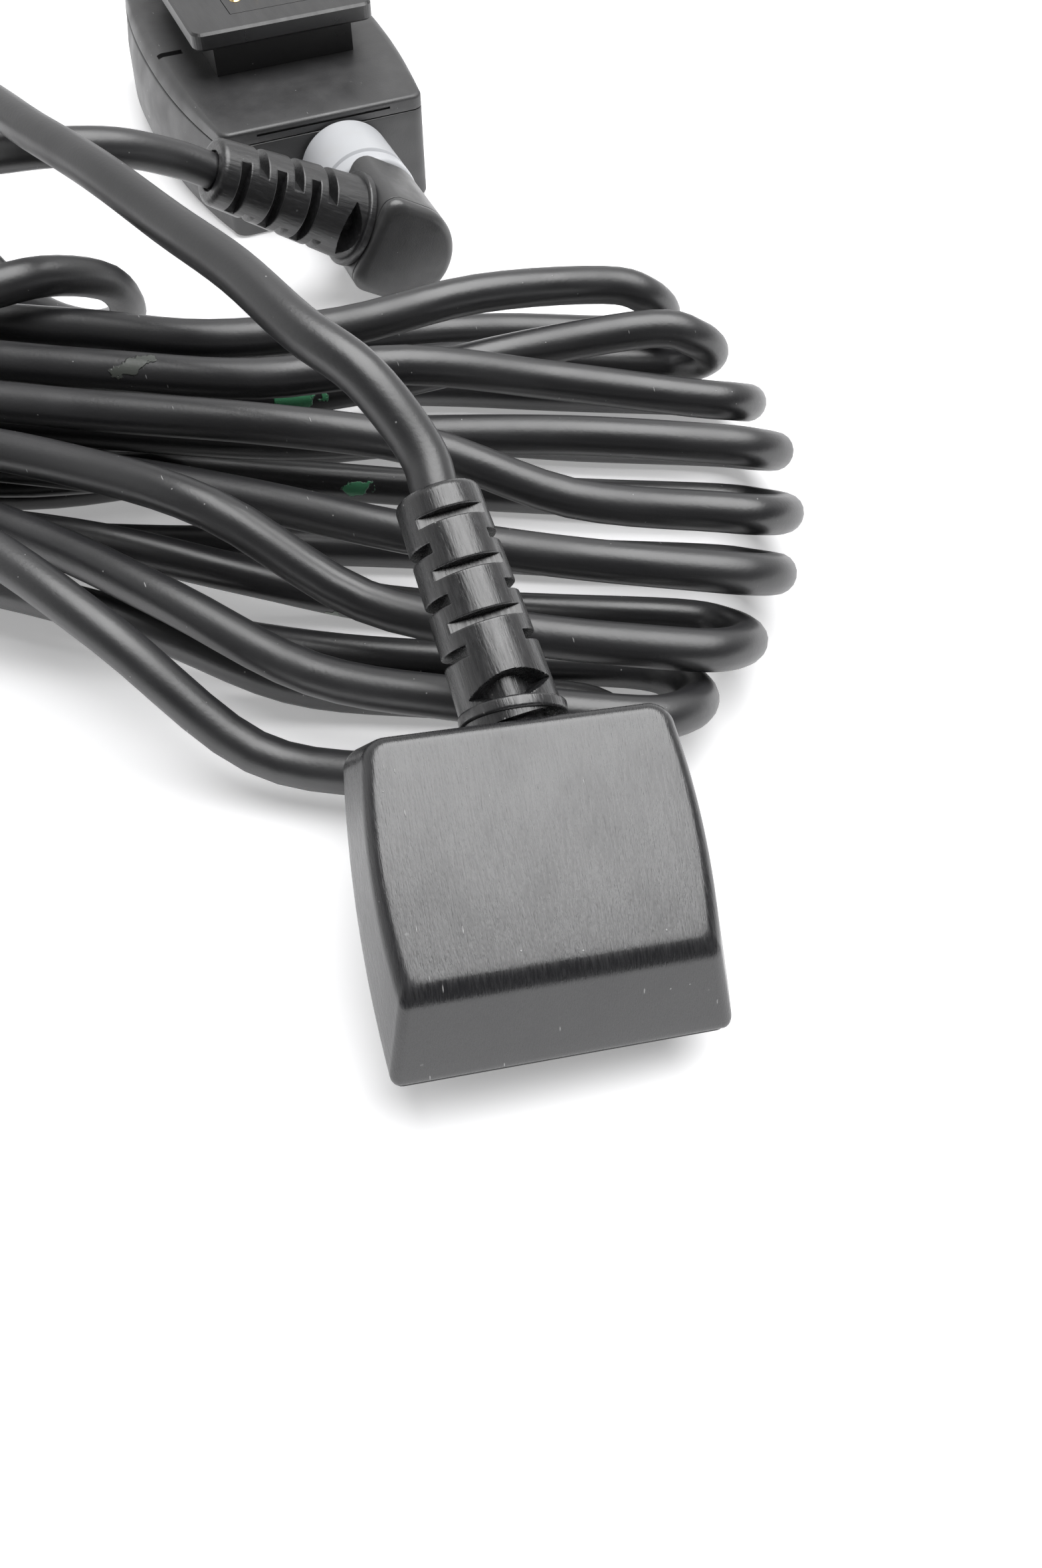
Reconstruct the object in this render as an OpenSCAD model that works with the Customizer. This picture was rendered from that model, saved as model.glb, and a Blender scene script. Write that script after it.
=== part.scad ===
// TTL off-camera flash cord: a camera-shoe head, a cord wound in a hank, a right-angle
// plug with a locking collar, and a remote flash shoe with a tripod bush.
// Millimetres. The origin is the mouth of the tripod bush and +Z is up. The remote shoe's
// long axis is Y and its cord socket is on the -Y face. Every piece is drawn at rest.

/* [Cord] */
// Outside diameter of the cord
cord_d = 4; // [3:0.1:5]
// Loops in the hank
loops = 9; // [4:1:14]
// Strand spacing across the waist
waist_pitch = 3.2; // [2.8:0.1:4]
// Height between rows of strands at the waist
row_z = 4.81; // [4.6:0.01:8]
// Radius of the turn at each loop's right end
turn_r = 6.8; // [5:0.1:12]
// Distance from the waist to the centre of the fan of loop ends
fan_at = 60.24; // [40:0.01:90]
// Reach of the fan of loop ends beyond that centre
fan_reach = 25.66; // [10:0.01:50]
// Half-width of the fan of loop ends
fan_wide = 34.4; // [20:0.1:60]
// Angle between neighbouring loop ends
fan_step = 15.6; // [8:0.1:20]
// Distance from the waist to the left turns
left_reach = 32; // [20:1:60]
// Strand spacing at the left turns
left_pitch = 8.04; // [7:0.01:12]
// Direction of the hank, from the remote shoe's X axis
hank_yaw = -32; // [-90:1:90]

/* [Camera head] */
// Width of the cover at its rim
cover_w = 27; // [24:0.5:34]
// Length of the cover at its rim
cover_l = 26.6; // [22:0.1:34]
// Height of the cover
cover_h = 5.8; // [5:0.1:10]
// Wall thickness of the cover
cover_wall = 1.6; // [1:0.1:2]
// Draft of the sides over the height
cover_draft = 1.5; // [0:0.1:3]
// Draft of the back over the height
back_draft = 0.9; // [0:0.1:3]
// How far the front slope runs back
slope_run = 6.3; // [3:0.1:9]
// Bulge of each side at mid length
side_bulge = 0.6; // [0:0.1:1.5]
// Height of the foot channel's block
foot_h = 5.7; // [5:0.1:8]
// Width of the foot channel's block
foot_w = 21; // [18:0.5:24]
// Width of the camera's foot plate with play
slot_w = 15.4; // [14:0.1:18]
// Width of the mouth between the lips
mouth_w = 12.4; // [11:0.1:14]
// Thickness of the lips
lip_h = 1.5; // [1:0.1:2]
// Thickness of the camera's foot plate with play
slot_h = 3; // [2:0.1:4]
// Lift of the lock pin when the button is pressed
pin_lift = 0.8; // [0.5:0.1:1]

/* [Boots] */
// Length of the head's boot
head_boot_l = 19.5; // [12:0.5:30]
// Length of the plug's boot
plug_boot_l = 19; // [12:0.5:30]
// Distance between the boots' slots
slot_pitch = 4.3; // [3:0.1:6]
// Width of a slot
slot_gap = 0.8; // [0.6:0.1:2]

/* [Plug] */
// Radius of the plug's barrel
barrel_r = 3; // [2.5:0.1:4]
// Radius of the locking collar
collar_r = 6.2; // [5.5:0.1:8]
// Length of the locking collar
collar_l = 11.2; // [8:0.1:14]
// Half-width of the right-angle housing
elbow_r = 6; // [5:0.1:8]
// Depth of the right-angle housing
elbow_h = 12.5; // [10:0.1:16]
// Rise of the cord above level where it leaves the plug
elbow_rise = 31; // [0:1:90]

/* [Remote shoe] */
// Length of the shoe
shoe_l = 52; // [44:0.5:60]
// Width of the shoe's ends
shoe_end_w = 27.6; // [24:0.2:32]
// Height of the lower shell
shoe_low_h = 12.1; // [10:0.1:16]
// Height to the top of the upper shell
shoe_h = 14; // [13:0.1:20]
// Wall thickness of the shells
shoe_wall = 2; // [1.2:0.1:3]
// Width of the flash rail's plate
rail_w = 24.5; // [22:0.1:28]
// Length of the flash rail's plate
rail_l = 34.7; // [30:0.1:40]
// Height of the flash rail's neck
rail_neck_h = 4.2; // [2:0.1:5]
// Thickness of the flash rail's plate
rail_h = 2.2; // [1.5:0.1:3]
// Major radius of the tripod thread, 1/4 inch
bush_r = 3.175; // [3.1:0.005:3.3]
// Length of the tripod bush
bush_l = 8; // [6:0.5:10]

/* [Clearances] */
// Play between parts that slide on each other
slide_gap = 0.1; // [0.05:0.05:0.3]
// Gap at the joint line of two shells
seam_gap = 0.15; // [0.05:0.05:0.3]
// Gap round a button in its window
window_gap = 0.2; // [0.1:0.05:0.4]

/* [Hidden] */
$fn = 32;
eps = 0.02;
screw_head_r = 1;
screw_head_h = 1;
screw_r = 0.7;

// ---------------------------------------------------------------- small functions
function lerp(a, b, t) = a + (b - a) * t;
function clamp(x) = max(0, min(1, x));
function smooth(x) = clamp(x) * clamp(x) * (3 - 2 * clamp(x));
function ease(x) = lerp(clamp(x), smooth(x), 0.77);
function unit(v) = v / norm(v);
function turn_x(a, p) = [p.x, p.y * cos(a) - p.z * sin(a), p.y * sin(a) + p.z * cos(a)];
function turn_y(a, p) = [p.x * cos(a) + p.z * sin(a), p.y, p.z * cos(a) - p.x * sin(a)];
function turn_z(a, p) = [p.x * cos(a) - p.y * sin(a), p.x * sin(a) + p.y * cos(a), p.z];

// ---------------------------------------------------------------- places
// The head leans back on the hank, its front edge on the ground.
head_at = [-25, -150, 0.7];
head_yaw = -13;
head_pitch = 24;
head_roll = 4;
function head_dir(p) = turn_z(head_yaw, turn_x(head_pitch, turn_y(head_roll, p)));
module head_place() {
    translate(head_at)
        rotate([0, 0, head_yaw]) rotate([head_pitch, 0, 0]) rotate([0, head_roll, 0])
            children();
}

cover_top = foot_h + cover_h;
cover_front = -1.5;
cover_back = cover_front + cover_l;
cover_mid = (cover_front + cover_back) / 2;

// Where the head's boot starts, and its small tilt and swing from square.
boot_seat = [0.5, cover_back + 0.05, foot_h + 1.2];
boot_up = 6;
boot_swing = 10;
boot_dir = turn_z(boot_swing, turn_x(boot_up - 90, [0, 0, 1]));
head_boot_tip = head_at + head_dir(boot_seat + boot_dir * head_boot_l);
head_boot_way = head_dir(boot_dir);

// The plug's frame: Z out of the socket, Y up.
socket_at = [2, -shoe_l / 2, 7];
module plug_place() translate(socket_at) rotate([90, 0, 0]) children();
elbow_z = 11.7;
elbow_mid = elbow_z + elbow_h / 2;
elbow_end = 5.5;
elbow_way = [-cos(elbow_rise), 0, sin(elbow_rise)];
plug_boot_tip = socket_at + [0, -elbow_mid, 0] + elbow_way * (elbow_end + plug_boot_l);
// The same frame turned so that X runs along the cord's way out of the plug.
module elbow_place() plug_place() rotate([0, 0, 180 - elbow_rise]) children();

// ---------------------------------------------------------------- the hank's formula
// Hank frame: U along the strands, W across them towards the back, Z up.
hank_at = [-59, -60.5, 0];
floor_z = cord_d / 2 + 0.3;
function hank_point(p) = hank_at + turn_z(hank_yaw, p);
mid_loop = (loops - 1) / 2;
// A loop's end leans over; the front loops lean more, the back and the odd ones less.
function lean(k) =
    143.2 + 24.3 * pow(max(0, (k - mid_loop - 1) / 3), 2) - 11.5 * max(0, 2 - k) - 3.5 * (k % 2);
function fan_angle(k, mid) = fan_step * (mid - k);
function reach(k) = fan_at + fan_reach * cos(fan_angle(k, mid_loop + 0.17));
function fan_w(k) = fan_wide * sin(fan_angle(k, mid_loop + 0.19)) + 1.4 * max(0, 1 - k);
waist_shift = 4.74;
function waist_w(k) = waist_pitch * (mid_loop - k) - waist_shift;
left_apart = 2.44;
left_rise = 9.17;
function left_w(k) = left_pitch * (mid_loop - k);
function row(k, top) = floor_z + row_z * ((top ? 2 : 0) + (k % 2 == 0 ? 1 : 0));

// How far along its change from the waist to the loop's end a strand is at u. The front
// loops' upper strands spread sooner, so that neighbours stay side by side.
function sooner(k) = max(0, (k - 3) / 5);
function spread(k, u, top) =
    u < 0 ? smooth(-u / left_reach)
    : top ? ease((u - lerp(33.4, 0, sooner(k))) / lerp(45.7, 52, sooner(k)))
    : ease((u - 5.5) / 48.85);
function end_w(k, u, top) =
    u < 0 ? left_w(k) + (top ? -left_apart : left_apart)
    : fan_w(k) + turn_r * cos(lean(k)) * (top ? 1 : -1);
function end_z(k, u, top) =
    floor_z + (top ? (u < 0 ? left_rise : 2 * turn_r * sin(lean(k))) : 0);
// The lower strands bow a little towards the front.
lower_bow = 2.4;
function bow(k, u, top) = top ? 0 : -lower_bow * sin(180 * clamp(u / reach(k)));
function strand(k, u, top) =
    let (s = spread(k, u, top))
    [u, lerp(waist_w(k), end_w(k, u, top), s) + bow(k, u, top),
        lerp(row(k, top), end_z(k, u, top), smooth((s - 0.55) / 0.45))];

// One loop: out along the top, round the right turn, back along the bottom, and round
// the left turn to the next loop. 24 rings a loop.
run_steps = 8;
turn_steps = 4;
function right_turn(k) =
    let (a = strand(k, reach(k), true), b = strand(k, reach(k), false))
    [for (j = [0:turn_steps]) let (t = 90 - 180 * j / turn_steps)
        (a + b) / 2 + (a - b) / 2 * sin(t) + [turn_r * cos(t), 0, 0]];
function left_turn(k) =
    let (a = strand(k, -left_reach, false), b = strand(k + 1, -left_reach, true))
    [for (j = [1:turn_steps - 1]) let (t = 90 - 180 * j / turn_steps)
        (a + b) / 2 + (a - b) / 2 * sin(t) - [norm(a - b) / 2 * cos(t), 0, 0]];
function loop(k) = concat(
    [for (j = [0:run_steps - 1])
        strand(k, lerp(-left_reach, reach(k), j / run_steps), true)],
    right_turn(k),
    [for (j = [1:run_steps])
        strand(k, lerp(reach(k), -left_reach, j / run_steps), false)],
    k < loops - 1 ? left_turn(k) : []);
hank_path = [for (k = [0:loops - 1]) each [for (p = loop(k)) hank_point(p)]];
hank_start = hank_path[0];
hank_end = hank_path[len(hank_path) - 1];
hank_way = turn_z(hank_yaw, [1, 0, 0]);

// ---------------------------------------------------------------- the cord's free ends
// From the head's boot the lead rises over the hank, passes beyond its left end and
// turns down into the first loop. Points in the hank's frame.
lead_over = [[55.5, -17.5, 33], [49.5, -14, 34.5], [42.5, -7.5, 35], [34.5, -0.5, 34.5],
    [25, 8, 34], [15, 17, 32.5], [2.5, 27.5, 31], [-12, 31.5, 29.5], [-28, 31.5, 28],
    [-42, 30.5, 26.5], [-50.5, 30, 23], [-53, 30, 17.5], [-50.5, 30, 12.5],
    [-43.5, 30, 11.1]];
// The tail turns back up at the left end, crosses the hank's top, makes an open arch
// behind it and rises to the plug's boot.
tail_over = [[-43, -29.5, 2.4], [-52, -28.5, 4.5], [-56.5, -26.5, 10.5],
    [-53.5, -23.5, 16.8], [-45, -20, 20.5], [-31, -14, 22.5], [-15, -7, 22.5],
    [-1, -1, 22.5], [9, 4, 22.2], [15.5, 9.5, 21.5], [19, 16, 17], [17.5, 21.5, 9.5],
    [11, 25.5, 4.5], [2, 29.5, 3.6], [-5.5, 33, 8], [-7.5, 33.5, 15.5], [-3, 30, 21.5],
    [4.5, 26.5, 24.5], [11.5, 26, 26], [17.5, 29.3, 24.8]];
lead_knots = concat(
    [head_boot_tip, head_boot_tip + head_boot_way * cord_d],
    [for (p = lead_over) hank_point(p)],
    [hank_start - hank_way * cord_d, hank_start]);
tail_knots = concat(
    [hank_end, hank_end - hank_way * cord_d],
    [for (p = tail_over) hank_point(p)],
    [plug_boot_tip + elbow_way * cord_d, plug_boot_tip]);
lead_path = spline(lead_knots, 2);
tail_path = spline(tail_knots, 2);

// A smooth curve through the knots, n steps between each two.
function spline(p, n) =
    let (q = concat([2 * p[0] - p[1]], p, [2 * p[len(p) - 1] - p[len(p) - 2]]))
    concat([for (i = [1:len(p) - 1], j = [0:n - 1])
        spline_at(q[i - 1], q[i], q[i + 1], q[i + 2], j / n)], [p[len(p) - 1]]);
function spline_at(a, b, c, d, t) =
    (2 * b + (c - a) * t + (2 * a - 5 * b + 4 * c - d) * t * t
        + (3 * b - a - 3 * c + d) * t * t * t) / 2;

// ---------------------------------------------------------------- tubes
function way_at(p, i) = unit(p[min(i + 1, len(p) - 1)] - p[max(i - 1, 0)]);
function across(n, t) = unit(n - t * (n * t));
// A side direction carried along the path without twist.
function sides_of(p) = [
    for (i = 0, n = across([0.3, 0.2, 1], way_at(p, 0)); i < len(p);
        i = i + 1, n = i < len(p) ? across(n, way_at(p, i)) : n) n];
function ring(c, n, t, r, sides) = let (b = cross(t, n))
    [for (j = [0:sides - 1]) c + r * (n * cos(360 * j / sides) + b * sin(360 * j / sides))];
module tube(path, r, sides) {
    side = sides_of(path);
    last = len(path) - 1;
    points = [for (i = [0:last]) each ring(path[i], side[i], way_at(path, i), r, sides)];
    walls = [for (i = [0:last - 1], j = [0:sides - 1])
        let (a = i * sides + j, b = i * sides + (j + 1) % sides)
        each [[a, a + sides, b], [b, a + sides, b + sides]]];
    first_cap = [for (j = [1:sides - 2]) [0, j, j + 1]];
    last_cap = [for (j = [1:sides - 2])
        [last * sides, last * sides + j + 1, last * sides + j]];
    polyhedron(points, concat(walls, first_cap, last_cap), convexity = 10);
}

// The least gap between strands of the hank, echoed with the cord's whole length.
function seg_gap(a, b, c, d) =
    let (u = b - a, v = d - c, w = a - c, uu = u * u, uv = u * v, vv = v * v,
        den = uu * vv - uv * uv,
        s0 = den < 0.001 ? 0 : clamp((uv * (v * w) - vv * (u * w)) / den),
        t = clamp((uv * s0 + v * w) / vv),
        s = clamp((uv * t - u * w) / uu))
    norm(a + u * s - c - v * t);
function self_gap(p) = min([for (i = [0:len(p) - 6], j = [i + 4:len(p) - 2])
    if (norm(p[i] - p[j]) < 30) seg_gap(p[i], p[i + 1], p[j], p[j + 1])]) - cord_d;
function path_length(p, i = 0, sum = 0) =
    i >= len(p) - 1 ? sum : path_length(p, i + 1, sum + norm(p[i + 1] - p[i]));
union() {
    echo(hank_gap = self_gap(hank_path));
    echo(cord_length = path_length(concat(lead_path, hank_path, tail_path)));
}

module cord_lead() color("#1c1c1d") tube(lead_path, cord_d / 2, 8);
module cord_hank() color("#1c1c1d") tube(hank_path, cord_d / 2, 6);
module cord_tail() color("#1c1c1d") tube(tail_path, cord_d / 2, 8);

// ---------------------------------------------------------------- the camera head
slope_angle = atan(cover_h / slope_run);
edge_r = 0.9;
fold_r = 3;
front_r = 1.2;
back_r = 2;

// How far the rounded upper edge has come in at height z.
function edge_in(z) = z < cover_top - edge_r ? 0
    : edge_r - sqrt(max(0, pow(edge_r, 2) - pow(z - cover_top + edge_r, 2)));
// The front face at height z: the slope, then the round fold into the top.
fold_in = fold_r * tan(slope_angle / 2);
function front_y(z) = z < cover_top - fold_in * sin(slope_angle)
    ? cover_front + (z - foot_h) / tan(slope_angle)
    : cover_front + slope_run + fold_in
        - sqrt(max(0, pow(fold_r, 2) - pow(z - cover_top + fold_r, 2)));
function back_y(z) = cover_back - back_draft * (z - foot_h) / cover_h - edge_in(z);
function half_w(z) = cover_w / 2 - cover_draft * (z - foot_h) / cover_h - edge_in(z);

// One level of the cover: two bowed sides and round corners, all moved in by `inset`.
module cover_level(z, inset) {
    rf = max(0.5, front_r - inset);
    rb = max(0.6, back_r - inset - edge_in(z));
    x = half_w(z) - inset;
    y0 = front_y(z) + inset * (inset > 0 ? 1.36 : 1);
    y1 = back_y(z) - inset;
    bow = [for (i = [0:8]) side_bulge * (1 - pow(i / 4 - 1, 2))];
    right = [for (i = [1:7]) [x + bow[i], lerp(y0 + rf, y1 - rb, i / 8)]];
    left = [for (i = [7:-1:1]) [-x - bow[i], lerp(y0 + rf, y1 - rb, i / 8)]];
    front_right = [for (a = [-90:18:0]) [x - rf + rf * cos(a), y0 + rf + rf * sin(a)]];
    back_right = [for (a = [0:15:90]) [x - rb + rb * cos(a), y1 - rb + rb * sin(a)]];
    back_left = [for (a = [90:15:180]) [rb - x + rb * cos(a), y1 - rb + rb * sin(a)]];
    front_left = [for (a = [180:18:270]) [rf - x + rf * cos(a), y0 + rf + rf * sin(a)]];
    translate([0, 0, z - eps])
        linear_extrude(eps)
            polygon(concat(front_right, right, back_right, back_left, left, front_left));
}
module cover_form(bottom, top, inset) {
    hull() {
        cover_level(bottom + eps, inset);
        for (drop = [1.2, 0.85, 0.55, 0.3, 0.12, 0.03, 0])
            translate([0, 0, top - cover_top]) cover_level(cover_top - drop, inset);
    }
}

foot_back = cover_back - 0.5;
channel_l = 20;
plate_top = foot_h + 1.5;
inner_top = cover_top - cover_wall;
// The screws stand in the middle of the block's cheeks, clear of the channel.
screw_x = (slot_w + foot_w) / 4;
screw_spots = [for (x = [-screw_x, screw_x], y = [6, cover_back - 3.2]) [x, y]];
boss_r = 1.9;
// The boot's neck through the cover's back wall, its inner collar and the cord's jacket.
neck_r = 2.6;
neck_collar_r = 2.95;
neck_collar_h = 1.2;
neck_in = 1.9;
collar_y = boot_seat.y - 3.7;
// The rim's flange under the cover, in from its edge.
flange_in = 0.35;
flange_h = 0.7;
contact_pitch = 2.8;
contact_x = [for (i = [0:3]) contact_pitch * (i - 1.5)];
contact_y = 9;
block_w = 3 * contact_pitch + 3.6;
block_y = [contact_y - 4.5, cover_mid + 1.2];
block_top = foot_h + 2.3;
board_h = 0.8;
board_w = block_w + 0.8;
board_y = [contact_y - 3.4, block_y[1] - 0.8];
// Where the cord's jacket and cores end inside the head.
jacket_y = boot_seat.y - 6.55;
clamp_y = jacket_y + 0.2;
// The pin's cross-bar fills the room between the contact block and the cord's clamp.
bar_gap = [0.5, 0.3];
bar_half = (clamp_y - block_y[1] - bar_gap[0] - bar_gap[1]) / 2;
pin_at = [2, clamp_y - bar_gap[1] - bar_half];
bar_r = 0.4;
bar_z = foot_h + 2.5;
pin_top = bar_z + 0.5;
// The button's face is flush with the cover's side at the button's height.
button_y = pin_at.y;
button_stem = [foot_h + 1.65, foot_h + 3.5];
button_mid = (button_stem[0] + button_stem[1]) / 2;
button_half = 2.9;
button_flange = 3.6;
side_at = half_w(button_mid) + side_bulge * (1 - pow((button_y - cover_mid) / (cover_l / 2), 2));
button_out = side_at + 0.1;
flange_out = side_at - cover_wall - 5 * window_gap;
tine_in = 1.4;
tine_out = bar_half - 0.3;
stem_web = flange_out - 1.9;

module head_cover() color("#2b2b2d") head_place() {
    difference() {
        cover_form(foot_h, cover_top, 0);
        difference() {
            cover_form(foot_h - 0.5, inner_top, cover_wall);
            for (s = screw_spots) translate([s.x, s.y, plate_top]) cylinder(r = boss_r, h = cover_h);
        }
        for (s = screw_spots) translate([s.x, s.y, plate_top - 1]) cylinder(r = screw_r, h = 3);
        // Way out for the boot's neck, open down to the rim.
        translate([boot_seat.x, cover_back - 5, boot_seat.z]) rotate([-90, 0, 0])
            cylinder(r = neck_r + seam_gap, h = 8);
        translate([boot_seat.x - neck_r - seam_gap, cover_back - 5, foot_h - 1])
            cube([2 * (neck_r + seam_gap), 8, boot_seat.z - foot_h + 1]);
        // Window for the release button.
        translate([side_at - cover_wall - 1.5, button_y - button_half - window_gap,
            button_stem[0] - window_gap])
                cube([cover_wall + 4, 2 * (button_half + window_gap),
                    button_stem[1] - button_stem[0] + 2 * window_gap]);
    }
}

module foot_base() color("#242426") head_place() {
    difference() {
        union() {
            translate([-foot_w / 2, 0, 0]) cube([foot_w, foot_back, foot_h - 0.1]);
            translate([0, 0, -flange_h]) intersection() {
                cover_form(foot_h, cover_top, flange_in);
                translate([-cover_w, -cover_l, foot_h]) cube([2 * cover_w, 3 * cover_l, flange_h - 0.05]);
            }
            intersection() {
                cover_form(foot_h - 0.5, inner_top, cover_wall + seam_gap);
                translate([-cover_w, -cover_l, foot_h - 0.2])
                    cube([2 * cover_w, 3 * cover_l, plate_top - foot_h + 0.2]);
            }
            // Stop of the button's spring.
            translate([spring_from - 0.8, button_y - 0.6, foot_h]) cube([0.8, 1.2, 3]);
        }
        translate([-mouth_w / 2, -3, -1]) cube([mouth_w, channel_l + 3, lip_h + 2]);
        translate([-slot_w / 2, -3, lip_h]) cube([slot_w, channel_l + 3, slot_h]);
        translate([-block_w / 2 - slide_gap, block_y[0] - slide_gap, 3])
            cube([block_w + 2 * slide_gap, block_y[1] - block_y[0] + 2 * slide_gap, 6]);
        translate([pin_at.x, pin_at.y, 3]) cylinder(r = 1.2 + slide_gap, h = 6);
        for (s = screw_spots) translate([s.x, s.y, -1]) {
            cylinder(r = screw_head_r + slide_gap, h = 1 + foot_screw_in + screw_head_h);
            cylinder(r = screw_r + slide_gap, h = 12);
        }
        // Cradle for the boot's neck, its inner collar and the cord's jacket.
        translate([boot_seat.x, 0, boot_seat.z]) rotate([-90, 0, 0]) {
            translate([0, 0, jacket_y - 2.4]) cylinder(r = neck_in + slide_gap, h = 6);
            translate([0, 0, collar_y - slide_gap]) cylinder(r = neck_collar_r + slide_gap,
                h = neck_collar_h + 2 * slide_gap);
            translate([0, 0, collar_y + 0.5]) cylinder(r = neck_r + slide_gap, h = 6);
        }
        // Shallow grooves of the mould on the front face of the block.
        for (x = [-screw_x, screw_x]) translate([x - 0.4, -1, 2]) cube([0.8, 1.4, foot_h - 3.3]);
    }
}

rail_half = (slot_w - mouth_w) / 4 - 0.05;
module guide_rails() color("#b9bcc0") head_place() {
    for (side = [-1, 1]) translate([side * (mouth_w + slot_w) / 4, 0, lip_h]) {
        translate([-rail_half, 1, 0]) cube([2 * rail_half, channel_l - 2, 0.3]);
        translate([side > 0 ? rail_half - 0.3 : -rail_half, 1, 0]) cube([0.3, channel_l - 2, 1.2]);
    }
}

module contact_block() color("#1f1f21") head_place() {
    difference() {
        translate([-block_w / 2, block_y[0], foot_h - 1.2])
            cube([block_w, block_y[1] - block_y[0], block_top - foot_h + 1.2]);
        for (x = contact_x) translate([x, contact_y, 3]) cylinder(r = 0.6 + slide_gap / 2, h = 8);
        translate([-block_w / 2 - 1, block_y[1] - 0.8, foot_h - 2]) cube([block_w + 2, 2, 1.6]);
    }
}

module contact_pins() color("#d9b25c") head_place() {
    for (x = contact_x) translate([x, contact_y, 0]) {
        translate([0, 0, foot_h - 1.6]) cylinder(r1 = 0.35, r2 = 0.6, h = 0.4);
        translate([0, 0, foot_h - 1.2]) cylinder(r = 0.6, h = block_top + board_h - foot_h + 1.4);
    }
}

module terminal_board() color("#3c6b45") head_place() {
    difference() {
        translate([-board_w / 2, board_y[0], block_top]) cube([board_w, board_y[1] - board_y[0], board_h]);
        for (x = contact_x) translate([x, contact_y, 7]) cylinder(r = 0.6 + slide_gap / 2, h = 3);
        for (x = [-1, 1]) translate([x * (board_w / 2 - 0.8), contact_y - 2.6, 7])
            cylinder(r = 0.4, h = 3);
    }
}

// The four cores of the cord, each with its colour.
core_colors = ["#a02c2c", "#e0e0dc", "#c9a227", "#2f5fa0"];
function core_spot(i, r) = [r * cos(45 + 90 * i), r * sin(45 + 90 * i)];

module foot_wires() head_place() {
    for (i = [0:3]) color(core_colors[i]) {
        x = lerp(-board_w / 2 + 0.8, -1.6, i / 3);
        y = board_y[1] - 0.6;
        top = block_top + board_h;
        spot = core_spot([2, 1, 3, 0][i], 0.8);
        end = [boot_seat.x + spot.x, jacket_y - 0.05, boot_seat.z + spot.y];
        tube([[x, y, top + 0.02], [x, y + 0.5, top + 0.45], [lerp(x, end.x, 0.2), y + 2, top + 0.5],
            [lerp(x, end.x, 0.7), jacket_y - 2.6, lerp(top + 0.5, end.z, 0.35)],
            end - [0, 1, 0], end], 0.3, 6);
    }
}

clamp_l = 1.8;
module cord_clamp() color("#b9bcc0") head_place() {
    difference() {
        union() {
            translate([boot_seat.x, clamp_y, boot_seat.z]) rotate([-90, 0, 0])
                cylinder(r = neck_in + 0.6, h = clamp_l);
            translate([boot_seat.x - 4, clamp_y, plate_top]) cube([8, clamp_l, 0.5]);
        }
        translate([boot_seat.x, clamp_y - 1, boot_seat.z]) rotate([-90, 0, 0])
            cylinder(r = neck_in, h = clamp_l + 2);
        translate([boot_seat.x - 3, clamp_y - 1, plate_top - 5]) cube([6, clamp_l + 2, 5]);
    }
}

module lock_pin() color("#c6c8ca") head_place() translate([pin_at.x, pin_at.y, 0]) {
    translate([0, 0, foot_h - 1.9]) cylinder(r1 = 0.9, r2 = 1.2, h = 0.3);
    translate([0, 0, foot_h - 1.6]) cylinder(r = 1.2, h = pin_top - foot_h + 1.6);
    translate([0, 0, pin_top - 0.1]) cylinder(r = 0.55, h = 0.4);
    translate([0, -bar_half, bar_z]) rotate([-90, 0, 0]) cylinder(r = bar_r, h = 2 * bar_half);
}

// An open coil as a stack of joined turns, drawn by sweeping one ring of wire.
module coil(r, wire_r, height, turns) {
    steps = 16;
    path = [for (i = [0:turns * steps])
        [r * cos(360 * i / steps), r * sin(360 * i / steps),
            wire_r + (height - 2 * wire_r) * i / (turns * steps)]];
    tube(path, wire_r, 6);
}

module lock_spring() color("#c6c8ca") head_place()
    translate([pin_at.x, pin_at.y, pin_top])
        coil(0.95, 0.12, inner_top - pin_top, 2);

// The button's two tines straddle the pin. Their 45 degree ends lift its cross-bar.
ramp = bar_z - pin_at.x - (bar_r + 0.12) * sqrt(2);
module tine() {
    rotate([90, 0, 0]) linear_extrude(tine_out - tine_in)
        polygon([[2.2, button_stem[0]], [2.2, 2.2 + ramp], [button_stem[1] - ramp, button_stem[1]],
            [stem_web + 0.5, button_stem[1]], [stem_web + 0.5, button_stem[0]]]);
}
module release_button() color("#1d1d1f") head_place() translate([0, button_y, 0]) {
    for (y = [-tine_in, tine_out]) translate([0, y, 0]) tine();
    stem_h = button_stem[1] - button_stem[0];
    translate([stem_web, -tine_out, button_stem[0]])
        cube([flange_out - stem_web, 2 * tine_out, stem_h]);
    translate([flange_out - 0.6, -button_flange, button_stem[0]])
        cube([0.6, 2 * button_flange, stem_h]);
    for (y = [-1, 1]) translate([flange_out - 0.1, y * (button_half - stem_h / 2), button_mid])
        rotate([0, 90, 0]) cylinder(r = stem_h / 2, h = button_out - flange_out + 0.1);
    translate([flange_out - 0.1, stem_h / 2 - button_half, button_stem[0]])
        cube([button_out - flange_out + 0.1, 2 * button_half - stem_h, stem_h]);
}

spring_from = 4.6;
module button_spring() color("#c6c8ca") head_place()
    translate([spring_from, button_y, button_mid]) rotate([0, 90, 0])
        coil(0.72, 0.12, stem_web - spring_from, 6);

module screw(h) {
    difference() {
        cylinder(r = screw_head_r, h = screw_head_h);
        translate([-0.22, -0.7, -0.1]) cube([0.44, 1.4, 0.5]);
        translate([-0.7, -0.22, -0.1]) cube([1.4, 0.44, 0.5]);
    }
    translate([0, 0, screw_head_h - 0.05]) cylinder(r = screw_r, h = h - screw_head_h + 0.05);
}
foot_screw_in = 0.6;
module foot_screws() color("#8d9094") head_place()
    for (s = screw_spots) translate([s.x, s.y, foot_screw_in])
        screw(plate_top + 1.6 - foot_screw_in);

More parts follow.
